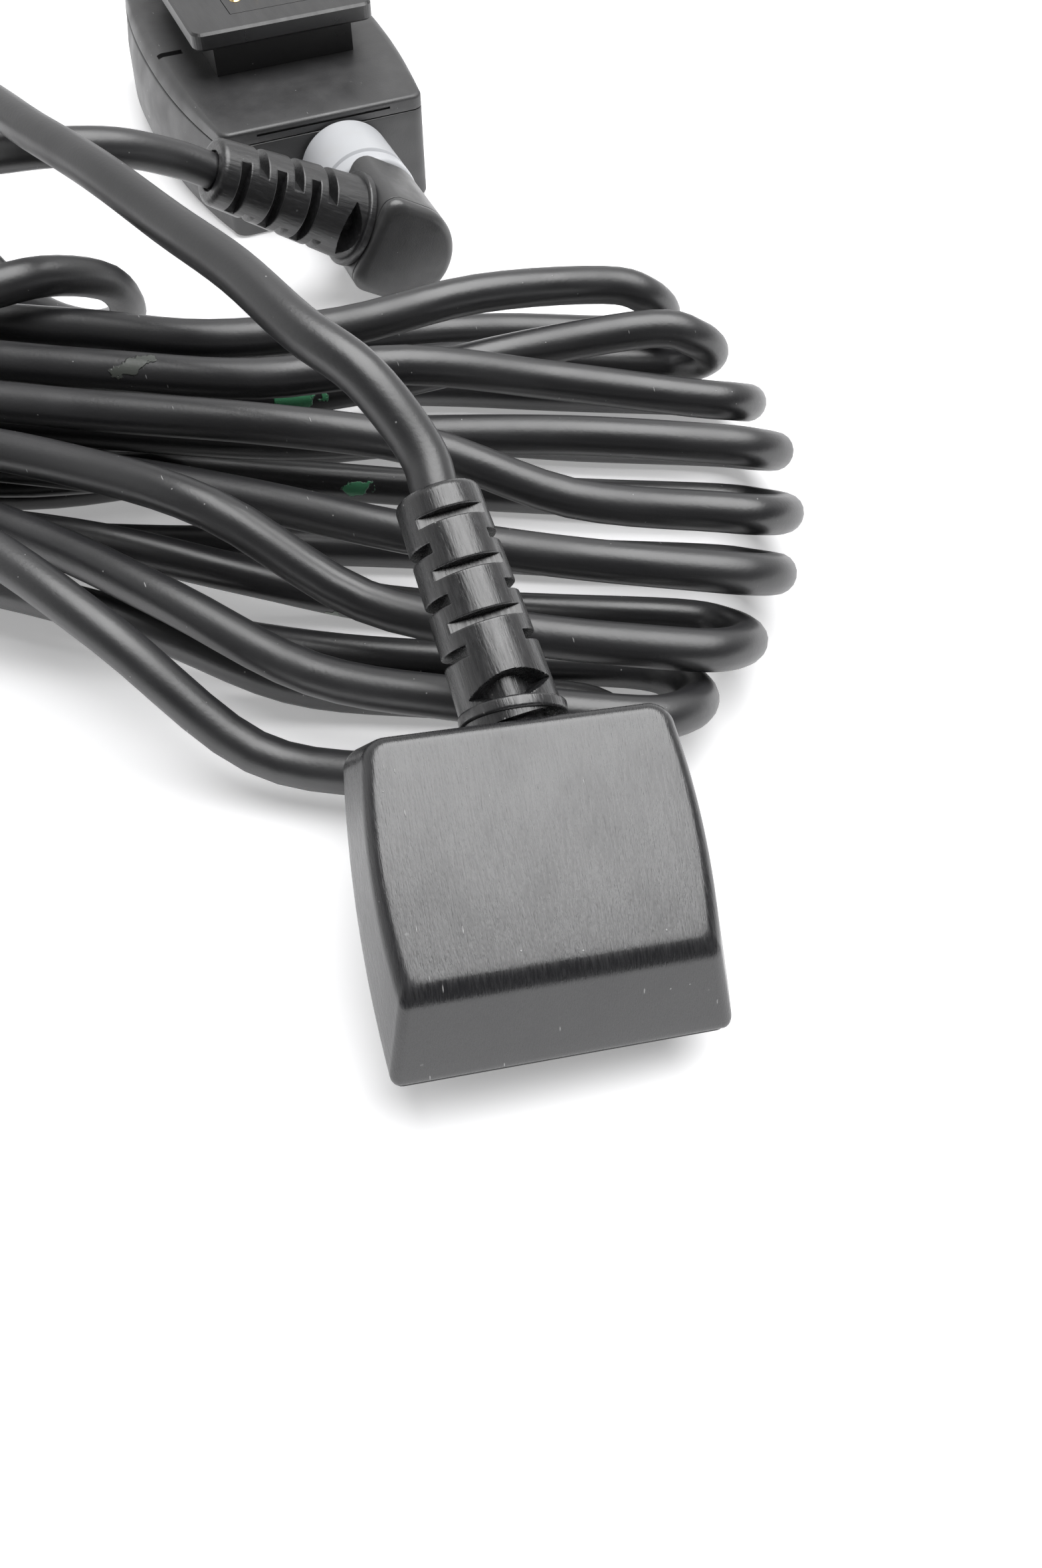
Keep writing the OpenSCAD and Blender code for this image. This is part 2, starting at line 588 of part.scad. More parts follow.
// A strain relief: a tapered sleeve on a core, rounded off at its tip. From the tip on it
// has slots by turns along X and Y, and a pointed opening along X at its base.
tip_land = 2.7;
eye_z = 2.4;
eye_half = [1.1, 3.3];
module slot(z, r, wide, gap) translate([cord_d / 2 + 0.35, -wide / 2, z - gap / 2])
    cube([r, wide, gap]);
module relief(r1, r2, h) {
    difference() {
        union() {
            cylinder(r1 = r1, r2 = r2, h = h - 0.8);
            translate([0, 0, h - 0.8]) cylinder(r1 = r2, r2 = r2 - 0.3, h = 0.5);
            translate([0, 0, h - 0.3]) cylinder(r1 = r2 - 0.3, r2 = r2 - 0.8, h = 0.3);
        }
        for (i = [0:floor((h - tip_land - eye_z - eye_half[0] - slot_gap) / slot_pitch * 2)])
            for (side = [0, 180]) rotate([0, 0, 90 * (i % 2) + side])
                slot(h - tip_land - i * slot_pitch / 2, r1, 1.6 * r2, slot_gap);
        // The opening at the base, bounded by two arcs.
        for (side = [0, 180]) rotate([0, 0, side])
            translate([cord_d / 2 + 0.35, 0, eye_z]) rotate([0, 90, 0]) linear_extrude(r1)
                polygon([for (t = [-1:0.25:1]) [eye_half[0] * (t * t - 1), eye_half[1] * t],
                    for (t = [0.75:-0.25:-0.75]) [eye_half[0] * (1 - t * t), eye_half[1] * t]]);
    }
}

module foot_boot() color("#161617") head_place() {
    translate(boot_seat) rotate([boot_up - 90, 0, boot_swing])
        rotate([0, 0, 90]) relief(4.1, 3.55, head_boot_l);
    translate([boot_seat.x, 0, boot_seat.z]) rotate([-90, 0, 0]) {
        translate([0, 0, boot_seat.y]) cylinder(r = 4.4, h = 1.1);
        translate([0, 0, collar_y + 0.5]) cylinder(r = neck_r, h = boot_seat.y - collar_y - 0.3);
        translate([0, 0, collar_y]) cylinder(r = neck_collar_r, h = neck_collar_h);
        translate([0, 0, jacket_y]) cylinder(r = neck_in, h = collar_y - jacket_y + 0.3);
    }
}

// ---------------------------------------------------------------- the plug
bore_r = barrel_r - 0.6;
stem_r = barrel_r + 0.6;
insert_r = bore_r - 0.05;
socket_r = barrel_r + slide_gap;
socket_out = barrel_r + 1.3;
pin_ring = 1.3;

module plug_shell() color("#aeb1b5") plug_place() {
    difference() {
        union() {
            translate([0, 0, -6]) cylinder(r1 = barrel_r - 0.3, r2 = barrel_r, h = 0.3);
            translate([0, 0, -5.7]) cylinder(r = barrel_r, h = 12);
            translate([0, 0, 6.2]) cylinder(r = socket_out - 0.1, h = 0.8);
            translate([0, 0, 7]) cylinder(r = stem_r, h = 5);
        }
        translate([0, 0, -7]) cylinder(r = bore_r, h = 20);
        translate([-0.6, barrel_r - 0.5, -7]) cube([1.2, 2, 9]);
    }
}

module plug_insert() color("#e4e2da") plug_place() {
    difference() {
        translate([0, 0, -5.4]) cylinder(r = insert_r, h = 12.4);
        for (i = [0:3]) rotate([0, 0, 45 + 90 * i])
            translate([pin_ring, 0, -6]) cylinder(r = 0.42, h = 20, $fn = 24);
    }
}

module plug_pins() color("#d9b25c") plug_place() {
    for (i = [0:3]) rotate([0, 0, 45 + 90 * i]) translate([pin_ring, 0, 0]) {
        translate([0, 0, -10.5]) cylinder(r1 = 0.2, r2 = 0.4, h = 0.5, $fn = 24);
        translate([0, 0, -10]) cylinder(r = 0.4, h = 18.4, $fn = 24);
    }
}

module lock_collar() color("#c9ccd0") plug_place() {
    difference() {
        union() {
            translate([0, 0, 0.3]) cylinder(r1 = collar_r - 0.6, r2 = collar_r, h = 0.6);
            translate([0, 0, 0.9]) cylinder(r = collar_r, h = collar_l - 1.2);
            translate([0, 0, collar_l - 0.3]) cylinder(r1 = collar_r, r2 = collar_r - 0.6, h = 0.6);
        }
        translate([0, 0, -1]) cylinder(r = socket_out + slide_gap, h = 8.2);
        cylinder(r = stem_r + slide_gap / 2, h = collar_l + 3);
        // A shallow ring near the back edge, for the fingers.
        translate([0, 0, collar_l - 2.6]) difference() {
            cylinder(r = collar_r + 1, h = 0.8);
            translate([0, 0, -1]) cylinder(r = collar_r - 0.35, h = 3);
        }
    }
}

// The right-angle housing's outline: round about the plug's axis, square to the cord.
module elbow_outline(inset) {
    intersection() {
        circle(r = elbow_r - inset, $fn = 48);
        translate([-20, -20]) square([20 + elbow_end - inset, 40]);
    }
    translate([0, inset - elbow_r]) square([elbow_end - inset, 2 * (elbow_r - inset)]);
}
elbow_wall = 1.2;
boot_neck_r = 3.4;
boot_neck_l = elbow_wall + 0.8;
module plug_body() color("#262628") elbow_place() {
    difference() {
        translate([0, 0, elbow_z]) linear_extrude(elbow_h - 1.5) elbow_outline(0);
        translate([0, 0, elbow_z + elbow_wall]) linear_extrude(elbow_h) elbow_outline(elbow_wall);
        translate([0, 0, elbow_z - 1]) cylinder(r = stem_r, h = 4);
        translate([2, 0, elbow_mid]) rotate([0, 90, 0]) cylinder(r = boot_neck_r, h = 6);
    }
}
module plug_cap() color("#262628") elbow_place() {
    difference() {
        union() {
            translate([0, 0, elbow_z + elbow_h - 1.5]) linear_extrude(0.9) elbow_outline(0);
            translate([0, 0, elbow_z + elbow_h - 0.7]) linear_extrude(0.3) elbow_outline(0.15);
            translate([0, 0, elbow_z + elbow_h - 0.45]) linear_extrude(0.25) elbow_outline(0.4);
            translate([0, 0, elbow_z + elbow_h - 0.25]) linear_extrude(0.25) elbow_outline(0.9);
            translate([0, 0, elbow_z + elbow_h - 2.4]) linear_extrude(1)
                elbow_outline(elbow_wall + 0.1);
        }
        translate([0, 0, elbow_z + elbow_h - 3]) linear_extrude(1.6) elbow_outline(elbow_wall + 1);
    }
}

module plug_wires() elbow_place() {
    for (i = [0:3]) color(core_colors[i]) {
        from = turn_z(elbow_rise - 180, [core_spot(i, pin_ring).x, core_spot(i, pin_ring).y, 0]);
        to = [elbow_end - boot_neck_l - 0.05, from.y * 0.8, elbow_mid - from.x * 0.8];
        tube([[from.x, from.y, 8.3], [from.x, from.y, 13.2], [lerp(from.x, to.x, 0.3), from.y * 0.9,
            lerp(13.2, to.z, 0.75)], [to.x - 0.8, to.y, to.z], to], 0.3, 6);
    }
}

module plug_boot() color("#161617") elbow_place() {
    translate([elbow_end, 0, elbow_mid]) rotate([0, 90, 0]) {
        relief(5, 3.7, plug_boot_l);
        cylinder(r = 5.5, h = 1);
        translate([0, 0, -boot_neck_l]) cylinder(r = boot_neck_r, h = boot_neck_l + 0.2);
    }
}

// ---------------------------------------------------------------- the socket
socket_flange_r = 4.9;
socket_in = 12;
module socket_shell() color("#aeb1b5") plug_place() {
    difference() {
        union() {
            translate([0, 0, -socket_in]) cylinder(r = socket_out, h = socket_in + 6);
            translate([0, 0, -shoe_wall - 1.2]) cylinder(r = socket_flange_r, h = 1.15);
        }
        translate([0, 0, -socket_in - 1]) cylinder(r = socket_r, h = socket_in + 8);
    }
}
module socket_insert() color("#1f1f21") plug_place() {
    difference() {
        translate([0, 0, 0.2 - socket_in]) cylinder(r = socket_r - 0.05, h = 5.2);
        for (i = [0:3]) rotate([0, 0, 45 + 90 * i])
            translate([pin_ring, 0, -1 - socket_in]) cylinder(r = 0.58, h = 9, $fn = 24);
    }
}
module socket_contacts() color("#d9b25c") plug_place() {
    for (i = [0:3]) rotate([0, 0, 45 + 90 * i]) translate([pin_ring, 0, -1.6 - socket_in]) difference() {
        cylinder(r = 0.56, h = 6.8, $fn = 24);
        translate([0, 0, 2.6]) cylinder(r = 0.45, h = 5, $fn = 24);
    }
}

// ---------------------------------------------------------------- the remote shoe
// Half-width at mid length for each height of the shell.
shoe_mid = [[0, 16.9], [1, 17.3], [4, 18], [9, 17.6], [shoe_low_h, 16.6],
    [shoe_low_h + 0.1, 16.5], [13.3, 15.9], [shoe_h, 15.1]];
function shoe_in(z) = z > shoe_h - 0.5 ? z - shoe_h + 0.5 : z < 0.8 ? 0.8 - z : 0;
module shoe_level(i, inset) {
    z = shoe_mid[i][0];
    end = shoe_end_w / 2 - shoe_in(z) - inset;
    bow = shoe_mid[i][1] - shoe_end_w / 2;
    y_end = shoe_l / 2 - shoe_in(z) - inset;
    r = 1.6;
    side = [for (t = [-1:0.125:1]) [end + bow * (1 - pow(abs(t), 2.2)), t * (y_end - r)]];
    translate([0, 0, z]) linear_extrude(eps) polygon(concat(
        [[end - r, -y_end], [end - r * 0.3, -y_end + r * 0.3]], side,
        [[end - r * 0.3, y_end - r * 0.3], [end - r, y_end], [r - end, y_end],
            [r * 0.3 - end, y_end - r * 0.3]],
        [for (j = [len(side) - 1:-1:0]) [-side[j].x, side[j].y]],
        [[r * 0.3 - end, -y_end + r * 0.3], [r - end, -y_end]]));
}
module shoe_form(levels, inset) hull() for (i = levels) shoe_level(i, inset);

shoe_spots = [for (x = [-11, 11], y = [-19.5, 21]) [x, y]];
rail_spots = [[0, 2], [0, 18]];
board_z = shoe_low_h - 2.1;
shoe_contact_x = contact_x;
shoe_contact_y = -4.7;
rail_front = -12.7;
rail_z = shoe_h + rail_neck_h;
rail_top = rail_z + rail_h;
neck_w = 19;

module shoe_body() color("#242426") {
    difference() {
        shoe_form([0:4], 0);
        difference() {
            intersection() {
                shoe_form([0:5], shoe_wall);
                translate([-30, -30, shoe_wall]) cube([60, 60, 20]);
            }
            translate([0, 0, 0.5]) cylinder(r = 6.2, h = bush_l);
            for (s = shoe_spots) translate([s.x, s.y, 0.5]) cylinder(r = 2.1, h = 14);
        }
        translate([0, 0, -1]) cylinder(r = 5 + slide_gap / 2, h = bush_l + 2);
        for (s = shoe_spots) translate([s.x, s.y, -1]) {
            cylinder(r = screw_head_r + slide_gap, h = 2.8);
            cylinder(r = screw_r + slide_gap, h = 20);
        }
        plug_place() translate([0, 0, -4]) cylinder(r = socket_out + slide_gap, h = 6);
    }
    // Ribs that stiffen the floor beside the bush.
    for (x = [-8, 6]) translate([x, shoe_l / 2 - 12, shoe_wall - 0.5]) cube([2, 7, shoe_low_h / 2]);
}

module shoe_top() color("#2b2b2d") {
    difference() {
        union() {
            shoe_form([5:7], 0);
            intersection() {
                shoe_form([3:5], shoe_wall + seam_gap);
                translate([-30, -30, shoe_low_h - 0.9]) cube([60, 60, 1.2]);
            }
            for (s = shoe_spots) translate([s.x, s.y, shoe_low_h - 0.9]) cylinder(r = 2.1, h = 1.2);
        }
        difference() {
            intersection() {
                shoe_form([3:7], shoe_wall + 1.2);
                translate([-30, -30, 8]) cube([60, 60, shoe_h - 1.2 - 8]);
            }
            for (s = shoe_spots) translate([s.x, s.y, 7]) cylinder(r = 2.6, h = 9);
            for (s = rail_spots) translate([s.x, s.y, 7]) cylinder(r = 2.4, h = 9);
        }
        for (s = shoe_spots) translate([s.x, s.y, 7]) cylinder(r = screw_r, h = 6.2);
        for (s = shoe_spots) translate([s.x, s.y, 7]) cylinder(r = 2.1 + seam_gap, h = shoe_low_h + seam_gap - 7);
        for (s = rail_spots) translate([s.x, s.y, 7]) cylinder(r = screw_r, h = 9);
        for (x = shoe_contact_x) translate([x, shoe_contact_y, 7]) cylinder(r = 1, h = 9);
        // Room for the socket's flange.
        plug_place() translate([0, 0, -shoe_wall - 4]) cylinder(r = socket_flange_r + seam_gap, h = 5);
        // Parting groove below the front edge of the top, and the small lock slot.
        translate([-9, -shoe_l / 2 - 0.6, 13]) cube([18, 0.9, 0.3]);
        translate([-15.3, -2.3, shoe_h - 0.6]) cube([3.5, 1.2, 2]);
    }
}

module shoe_rail() color("#1b1b1c") {
    difference() {
        union() {
            translate([-neck_w / 2, rail_front + 2, shoe_h + eps]) cube([neck_w, rail_l - 4.5, rail_neck_h]);
            hull() {
                for (x = [-1, 1], y = [0, 1]) translate([x * (rail_w / 2 - 1.4),
                    rail_front + 1.4 + y * (rail_l - 2.8), rail_z]) {
                        cylinder(r = 1.1, h = rail_h, $fn = 24);
                        translate([0, 0, 0.3]) cylinder(r = 1.4, h = rail_h - 0.6, $fn = 24);
                    }
            }
        }
        translate([-block_w / 2 - slide_gap, shoe_contact_y - 4, rail_z + 0.4])
            cube([block_w + 2 * slide_gap, 8, 5]);
        for (x = shoe_contact_x) translate([x, shoe_contact_y, 12]) cylinder(r = 1, h = 9);
        for (s = rail_spots) translate([s.x, s.y, 12]) {
            cylinder(r = screw_r + slide_gap, h = 9);
            translate([0, 0, rail_top - 12 - 1.2]) cylinder(r = screw_head_r + slide_gap, h = 3);
        }
        // The hole that takes the flash's lock pin.
        translate([0, 8, rail_top - 1.4]) cylinder(r = 1.5, h = 3);
    }
}

module shoe_contact_block() color("#151516") difference() {
    translate([-block_w / 2, shoe_contact_y - 3.9, rail_z + 0.4]) cube([block_w, 7.8, rail_h - 0.4]);
    for (x = shoe_contact_x) translate([x, shoe_contact_y, 12]) cylinder(r = 0.75 + slide_gap / 2, h = 9);
}
module shoe_contacts() color("#d9b25c") for (x = shoe_contact_x)
    translate([x, shoe_contact_y, 0]) {
        translate([0, 0, board_z + 0.2]) cylinder(r = 0.5, h = 5);
        translate([0, 0, 15]) cylinder(r = 0.75, h = rail_top - 15);
        translate([0, 0, rail_top - 0.05]) cylinder(r1 = 0.75, r2 = 0.4, h = 0.25);
    }

module shoe_board() color("#3c6b45") difference() {
    translate([-rail_w / 2, -9, board_z]) cube([rail_w, 12, 1]);
    for (x = shoe_contact_x) translate([x, shoe_contact_y, board_z - 2]) cylinder(r = 0.55, h = 5);
}
module shoe_wires() for (i = [0:3]) color(core_colors[i]) {
    spot = core_spot(i, pin_ring);
    from = socket_at + [spot.x, 0, spot.y];
    to = [lerp(-6.5, 8, [2, 1, 0, 3][i] / 3), -8.4, board_z + 0.02];
    tube([from + [0, socket_in + 1.4, 0], from + [0, socket_in + 2.6, 0],
        [lerp(from.x, to.x, 0.5), -9.6, board_z - 2], [to.x, -8.6, board_z - 1.2], to], 0.35, 6);
}

module tripod_bush() color("#c2a45a") difference() {
    cylinder(r = 5, h = bush_l, $fn = 48);
    translate([0, 0, -1]) cylinder(r = bush_r, h = bush_l + 2, $fn = 48);
}

module shoe_screws() color("#8d9094")
    for (s = shoe_spots) translate([s.x, s.y, 0.8]) screw(shoe_low_h - 0.5);
module rail_screws() color("#8d9094")
    for (s = rail_spots) translate([s.x, s.y, rail_top - 0.15]) rotate([180, 0, 0])
        screw(rail_neck_h + rail_h + 0.4);

head_cover();
foot_base();
guide_rails();
contact_block();
contact_pins();
terminal_board();
foot_wires();
cord_clamp();
lock_pin();
lock_spring();
release_button();
button_spring();
foot_screws();
foot_boot();
cord_lead();
cord_hank();
cord_tail();
lock_collar();
plug_shell();
plug_insert();
plug_pins();
plug_body();
plug_cap();
plug_wires();
plug_boot();
socket_shell();
socket_insert();
socket_contacts();
shoe_body();
shoe_top();
shoe_rail();
shoe_contact_block();
shoe_contacts();
shoe_board();
shoe_wires();
tripod_bush();
shoe_screws();
rail_screws();
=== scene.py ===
"""An off-camera flash cord: a camera-shoe head, a hank of cord, a right-angle plug and
a remote flash shoe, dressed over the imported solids. Sizes are millimetres in the
sections and become metres where a mesh is made."""
import math

import bmesh
import bpy
from mathutils import Euler, Matrix, Vector


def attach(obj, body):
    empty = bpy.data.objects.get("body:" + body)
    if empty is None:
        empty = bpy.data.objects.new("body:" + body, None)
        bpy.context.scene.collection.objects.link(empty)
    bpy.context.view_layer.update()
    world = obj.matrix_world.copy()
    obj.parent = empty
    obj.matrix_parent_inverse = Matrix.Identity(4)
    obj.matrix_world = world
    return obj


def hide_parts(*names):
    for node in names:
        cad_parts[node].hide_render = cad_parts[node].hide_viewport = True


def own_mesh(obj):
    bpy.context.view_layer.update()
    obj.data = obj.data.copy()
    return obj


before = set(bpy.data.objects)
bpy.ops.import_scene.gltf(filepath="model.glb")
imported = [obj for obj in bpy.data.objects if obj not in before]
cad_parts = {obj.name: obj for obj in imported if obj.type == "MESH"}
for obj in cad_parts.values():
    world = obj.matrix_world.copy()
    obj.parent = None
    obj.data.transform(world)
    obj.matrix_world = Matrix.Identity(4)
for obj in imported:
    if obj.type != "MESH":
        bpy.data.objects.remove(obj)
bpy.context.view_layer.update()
MM = 0.001

# ---------------------------------------------------------------- camera
# The view looks down over the head and along the hank to the remote shoe.
VIEW_FROM = (-46.3, -192.05, 98.2)
VIEW_TILT = 37.0
VIEW_TURN = -24.0
LENS_MM = 30.52

camera_data = bpy.data.cameras.new("view")
camera_data.lens = LENS_MM
camera_data.sensor_width = 36
camera = bpy.data.objects.new("view", camera_data)
camera.location = Vector(VIEW_FROM) * MM
camera.rotation_euler = Euler((math.radians(VIEW_TILT), 0, math.radians(VIEW_TURN)))
camera_data.clip_start, camera_data.clip_end = 0.005, 20
bpy.context.collection.objects.link(camera)
bpy.context.scene.camera = camera

# ---------------------------------------------------------------- cord
# Soft black PVC flash cord, 4 mm thick and 2.9 m long. It leaves the head's boot, passes
# over the hank, is wound there in nine flat loops, crosses back over them and rises to
# the plug's boot. The loops follow one rule, loop k out along the top and back below.
CORD_D = 4.0
LOOPS = 9
HANK_AT = Vector((-59, -60.5, 0))
HANK_YAW = -32
FLOOR_Z = CORD_D / 2 + 0.3
MID_LOOP = (LOOPS - 1) / 2
# The waist between the two fans: the strands' pitch and shift across, and a row's height.
WAIST_PITCH, WAIST_SHIFT, ROW_Z = 3.2, 4.74, 4.81
# The right fan: how far its loops reach along the hank and across, and their turn. The
# turns lean, the front loops more, the back and the odd ones less.
FAN_AT, FAN_REACH, FAN_WIDE, FAN_STEP, TURN_R = 60.24, 25.66, 34.4, 15.6, 6.8
FAN_MID_REACH, FAN_MID_WIDE, BACK_OUT = 0.17, 0.19, 1.4
LEAN, LEAN_FRONT, LEAN_BACK, LEAN_ODD = 143.2, 24.3, 11.5, 3.5
# Where a run starts to open from the waist into the fan, over what length, and where in
# that it starts to climb or sink to its turn. The front loops open sooner.
UPPER_OPENS, UPPER_OVER, FRONT_OVER, LOWER_OPENS, LOWER_OVER = 33.4, 45.7, 52, 5.5, 48.85
CLIMB_FROM, CLIMB_OVER = 0.55, 0.45
# The left end: its reach, the loops' pitch, and how far their two runs are apart.
LEFT_REACH, LEFT_PITCH, LEFT_APART, LEFT_RISE = 32, 8.04, 2.44, 9.17
# How far the lower runs bow out, and the points along each run and turn.
LOWER_BOW = 2.4
RUN_STEPS, TURN_STEPS, CORD_STEPS = 8, 4, 5


def lerp(a, b, t):
    return a + (b - a) * t


def clamp(x):
    return min(1.0, max(0.0, x))


def smooth(x):
    x = clamp(x)
    return x * x * (3 - 2 * x)


def ease(x):
    return lerp(clamp(x), smooth(x), 0.77)


def cosd(a):
    return math.cos(math.radians(a))


def sind(a):
    return math.sin(math.radians(a))


def rotated(degrees, axis):
    return Matrix.Rotation(math.radians(degrees), 4, axis)


def hank_point(p):
    return HANK_AT + Matrix.Rotation(math.radians(HANK_YAW), 3, "Z") @ Vector(p)


def lean(k):
    """The tilt of the turn at a loop's right end."""
    front, back = max(0, (k - MID_LOOP - 1) / 3), max(0, 2 - k)
    return LEAN + LEAN_FRONT * front ** 2 - LEAN_BACK * back - LEAN_ODD * (k % 2)


def reach(k):
    return FAN_AT + FAN_REACH * cosd(FAN_STEP * (MID_LOOP + FAN_MID_REACH - k))


def strand(k, u, top):
    """A point of loop k at u along the hank, on its upper or its lower run."""
    row = FLOOR_Z + ROW_Z * ((2 if top else 0) + (1 if k % 2 == 0 else 0))
    bow = 0 if top else -LOWER_BOW * sind(180 * clamp(u / reach(k)))
    if u < 0:
        s = smooth(-u / LEFT_REACH)
        end_w = LEFT_PITCH * (MID_LOOP - k) + (-LEFT_APART if top else LEFT_APART)
        end_z = FLOOR_Z + (LEFT_RISE if top else 0)
    else:
        sooner = max(0, (k - 3) / 5)
        opens = lerp(UPPER_OPENS, 0, sooner) if top else LOWER_OPENS
        s = ease((u - opens) / (lerp(UPPER_OVER, FRONT_OVER, sooner) if top else LOWER_OVER))
        fan_w = FAN_WIDE * sind(FAN_STEP * (MID_LOOP + FAN_MID_WIDE - k)) + BACK_OUT * max(0, 1 - k)
        end_w = fan_w + TURN_R * cosd(lean(k)) * (1 if top else -1)
        end_z = FLOOR_Z + (2 * TURN_R * sind(lean(k)) if top else 0)
    waist_w = WAIST_PITCH * (MID_LOOP - k) - WAIST_SHIFT
    climb = smooth((s - CLIMB_FROM) / CLIMB_OVER)
    return Vector((u, lerp(waist_w, end_w, s) + bow, lerp(row, end_z, climb)))


def turn(a, b, out, steps):
    """A half turn from a to b that bulges by out along the hank."""
    for j in steps:
        t = 90 - 180 * j / TURN_STEPS
        yield (a + b) / 2 + (a - b) / 2 * sind(t) + Vector((out * cosd(t), 0, 0))


loops = []
for k in range(LOOPS):
    far = reach(k)
    loops += [strand(k, lerp(-LEFT_REACH, far, j / RUN_STEPS), True) for j in range(RUN_STEPS)]
    loops += turn(strand(k, far, True), strand(k, far, False), TURN_R, range(TURN_STEPS + 1))
    loops += [strand(k, lerp(far, -LEFT_REACH, j / RUN_STEPS), False) for j in range(1, RUN_STEPS + 1)]
    if k < LOOPS - 1:
        a, b = strand(k, -LEFT_REACH, False), strand(k + 1, -LEFT_REACH, True)
        loops += turn(a, b, -(a - b).length / 2, range(1, TURN_STEPS))
hank = [hank_point(p) for p in loops]
hank_way = hank_point((1, 0, 0)) - hank_point((0, 0, 0))

# Where the cord leaves the head's boot. HEAD takes a point of the head to its place: it
# leans on the hank, and its boot is bent a little to the left and down.
HEAD_AT, HEAD_YAW, HEAD_PITCH, HEAD_ROLL = (-25, -150, 0.7), -13, 24, 4
HEAD = (Matrix.Translation(HEAD_AT) @ rotated(HEAD_YAW, "Z") @ rotated(HEAD_PITCH, "X")
        @ rotated(HEAD_ROLL, "Y"))
BOOT_SEAT = Vector((0.5, 25.15, 6.9))
BOOT_ASIDE, BOOT_DOWN = 10, 6
HEAD_BOOT_LENGTH = 19.5
BOOT_TURN = rotated(BOOT_ASIDE, "Z") @ rotated(BOOT_DOWN - 90, "X")
HEAD_BOOT = HEAD @ Matrix.Translation(BOOT_SEAT) @ BOOT_TURN
head_boot_tip = HEAD_BOOT @ Vector((0, 0, HEAD_BOOT_LENGTH))
head_boot_way = HEAD_BOOT.to_3x3() @ Vector((0, 0, 1))

# Where it enters the plug's boot. PLUG has Z out of the socket and Y up, and ELBOW is
# the same place turned so that X runs along the boot.
PLUG = Matrix.Translation((2, -26, 7)) @ rotated(90, "X")
ELBOW_RISE = 31
ELBOW = PLUG @ rotated(180 - ELBOW_RISE, "Z")
ELBOW_Z, ELBOW_H, ELBOW_END = 11.7, 12.5, 5.5
PLUG_BOOT_LENGTH = 19.0
PLUG_BOOT = (ELBOW @ Matrix.Translation((ELBOW_END, 0, ELBOW_Z + ELBOW_H / 2))
             @ rotated(90, "Y"))
plug_boot_tip = PLUG_BOOT @ Vector((0, 0, PLUG_BOOT_LENGTH))
plug_boot_way = PLUG_BOOT.to_3x3() @ Vector((0, 0, 1))

# The lead's and the tail's points over the hank, in its own frame.
LEAD_OVER = [
    (55.5, -17.5, 33), (49.5, -14, 34.5), (42.5, -7.5, 35), (34.5, -0.5, 34.5), (25, 8, 34),
    (15, 17, 32.5), (2.5, 27.5, 31), (-12, 31.5, 29.5), (-28, 31.5, 28), (-42, 30.5, 26.5),
    (-50.5, 30, 23), (-53, 30, 17.5), (-50.5, 30, 12.5), (-43.5, 30, 11.1)]
TAIL_OVER = [
    (-43, -29.5, 2.4), (-52, -28.5, 4.5), (-56.5, -26.5, 10.5), (-53.5, -23.5, 16.8), (-45, -20, 20.5),
    (-31, -14, 22.5), (-15, -7, 22.5), (-1, -1, 22.5), (9, 4, 22.2), (15.5, 9.5, 21.5),
    (19, 16, 17), (17.5, 21.5, 9.5), (11, 25.5, 4.5), (2, 29.5, 3.6), (-5.5, 33, 8),
    (-7.5, 33.5, 15.5), (-3, 30, 21.5), (4.5, 26.5, 24.5), (11.5, 26, 26), (17.5, 29.3, 24.8)]
lead = [head_boot_tip, head_boot_tip + head_boot_way * CORD_D,
        *map(hank_point, LEAD_OVER), hank[0] - hank_way * CORD_D]
tail = [hank[-1] - hank_way * CORD_D, *map(hank_point, TAIL_OVER),
        plug_boot_tip + plug_boot_way * CORD_D, plug_boot_tip]


def rounded(knots, steps):
    """A smooth line through the knots, with steps points between each two."""
    knots = [2 * knots[0] - knots[1], *knots, 2 * knots[-1] - knots[-2]]
    line = []
    for a, b, c, d in zip(knots, knots[1:], knots[2:], knots[3:]):
        for j in range(steps):
            t = j / steps
            line.append((2 * b + (c - a) * t + (2 * a - 5 * b + 4 * c - d) * t ** 2
                         + (3 * b - a - 3 * c + d) * t ** 3) / 2)
    return [*line, knots[-2]]


cord_line = rounded(lead + hank + tail, CORD_STEPS)
cord_data = bpy.data.curves.new("flash_cord", "CURVE")
cord_data.dimensions = "3D"
cord_data.bevel_depth = CORD_D / 2 * MM
cord_data.bevel_resolution = 7
cord_data.use_fill_caps = True
cord_spline = cord_data.splines.new("POLY")
cord_spline.points.add(len(cord_line) - 1)
for point, place in zip(cord_spline.points, cord_line):
    point.co = (*(place * MM), 1)
cord_spline.use_smooth = True
cord = bpy.data.objects.new("flash_cord", cord_data)
bpy.context.collection.objects.link(cord)


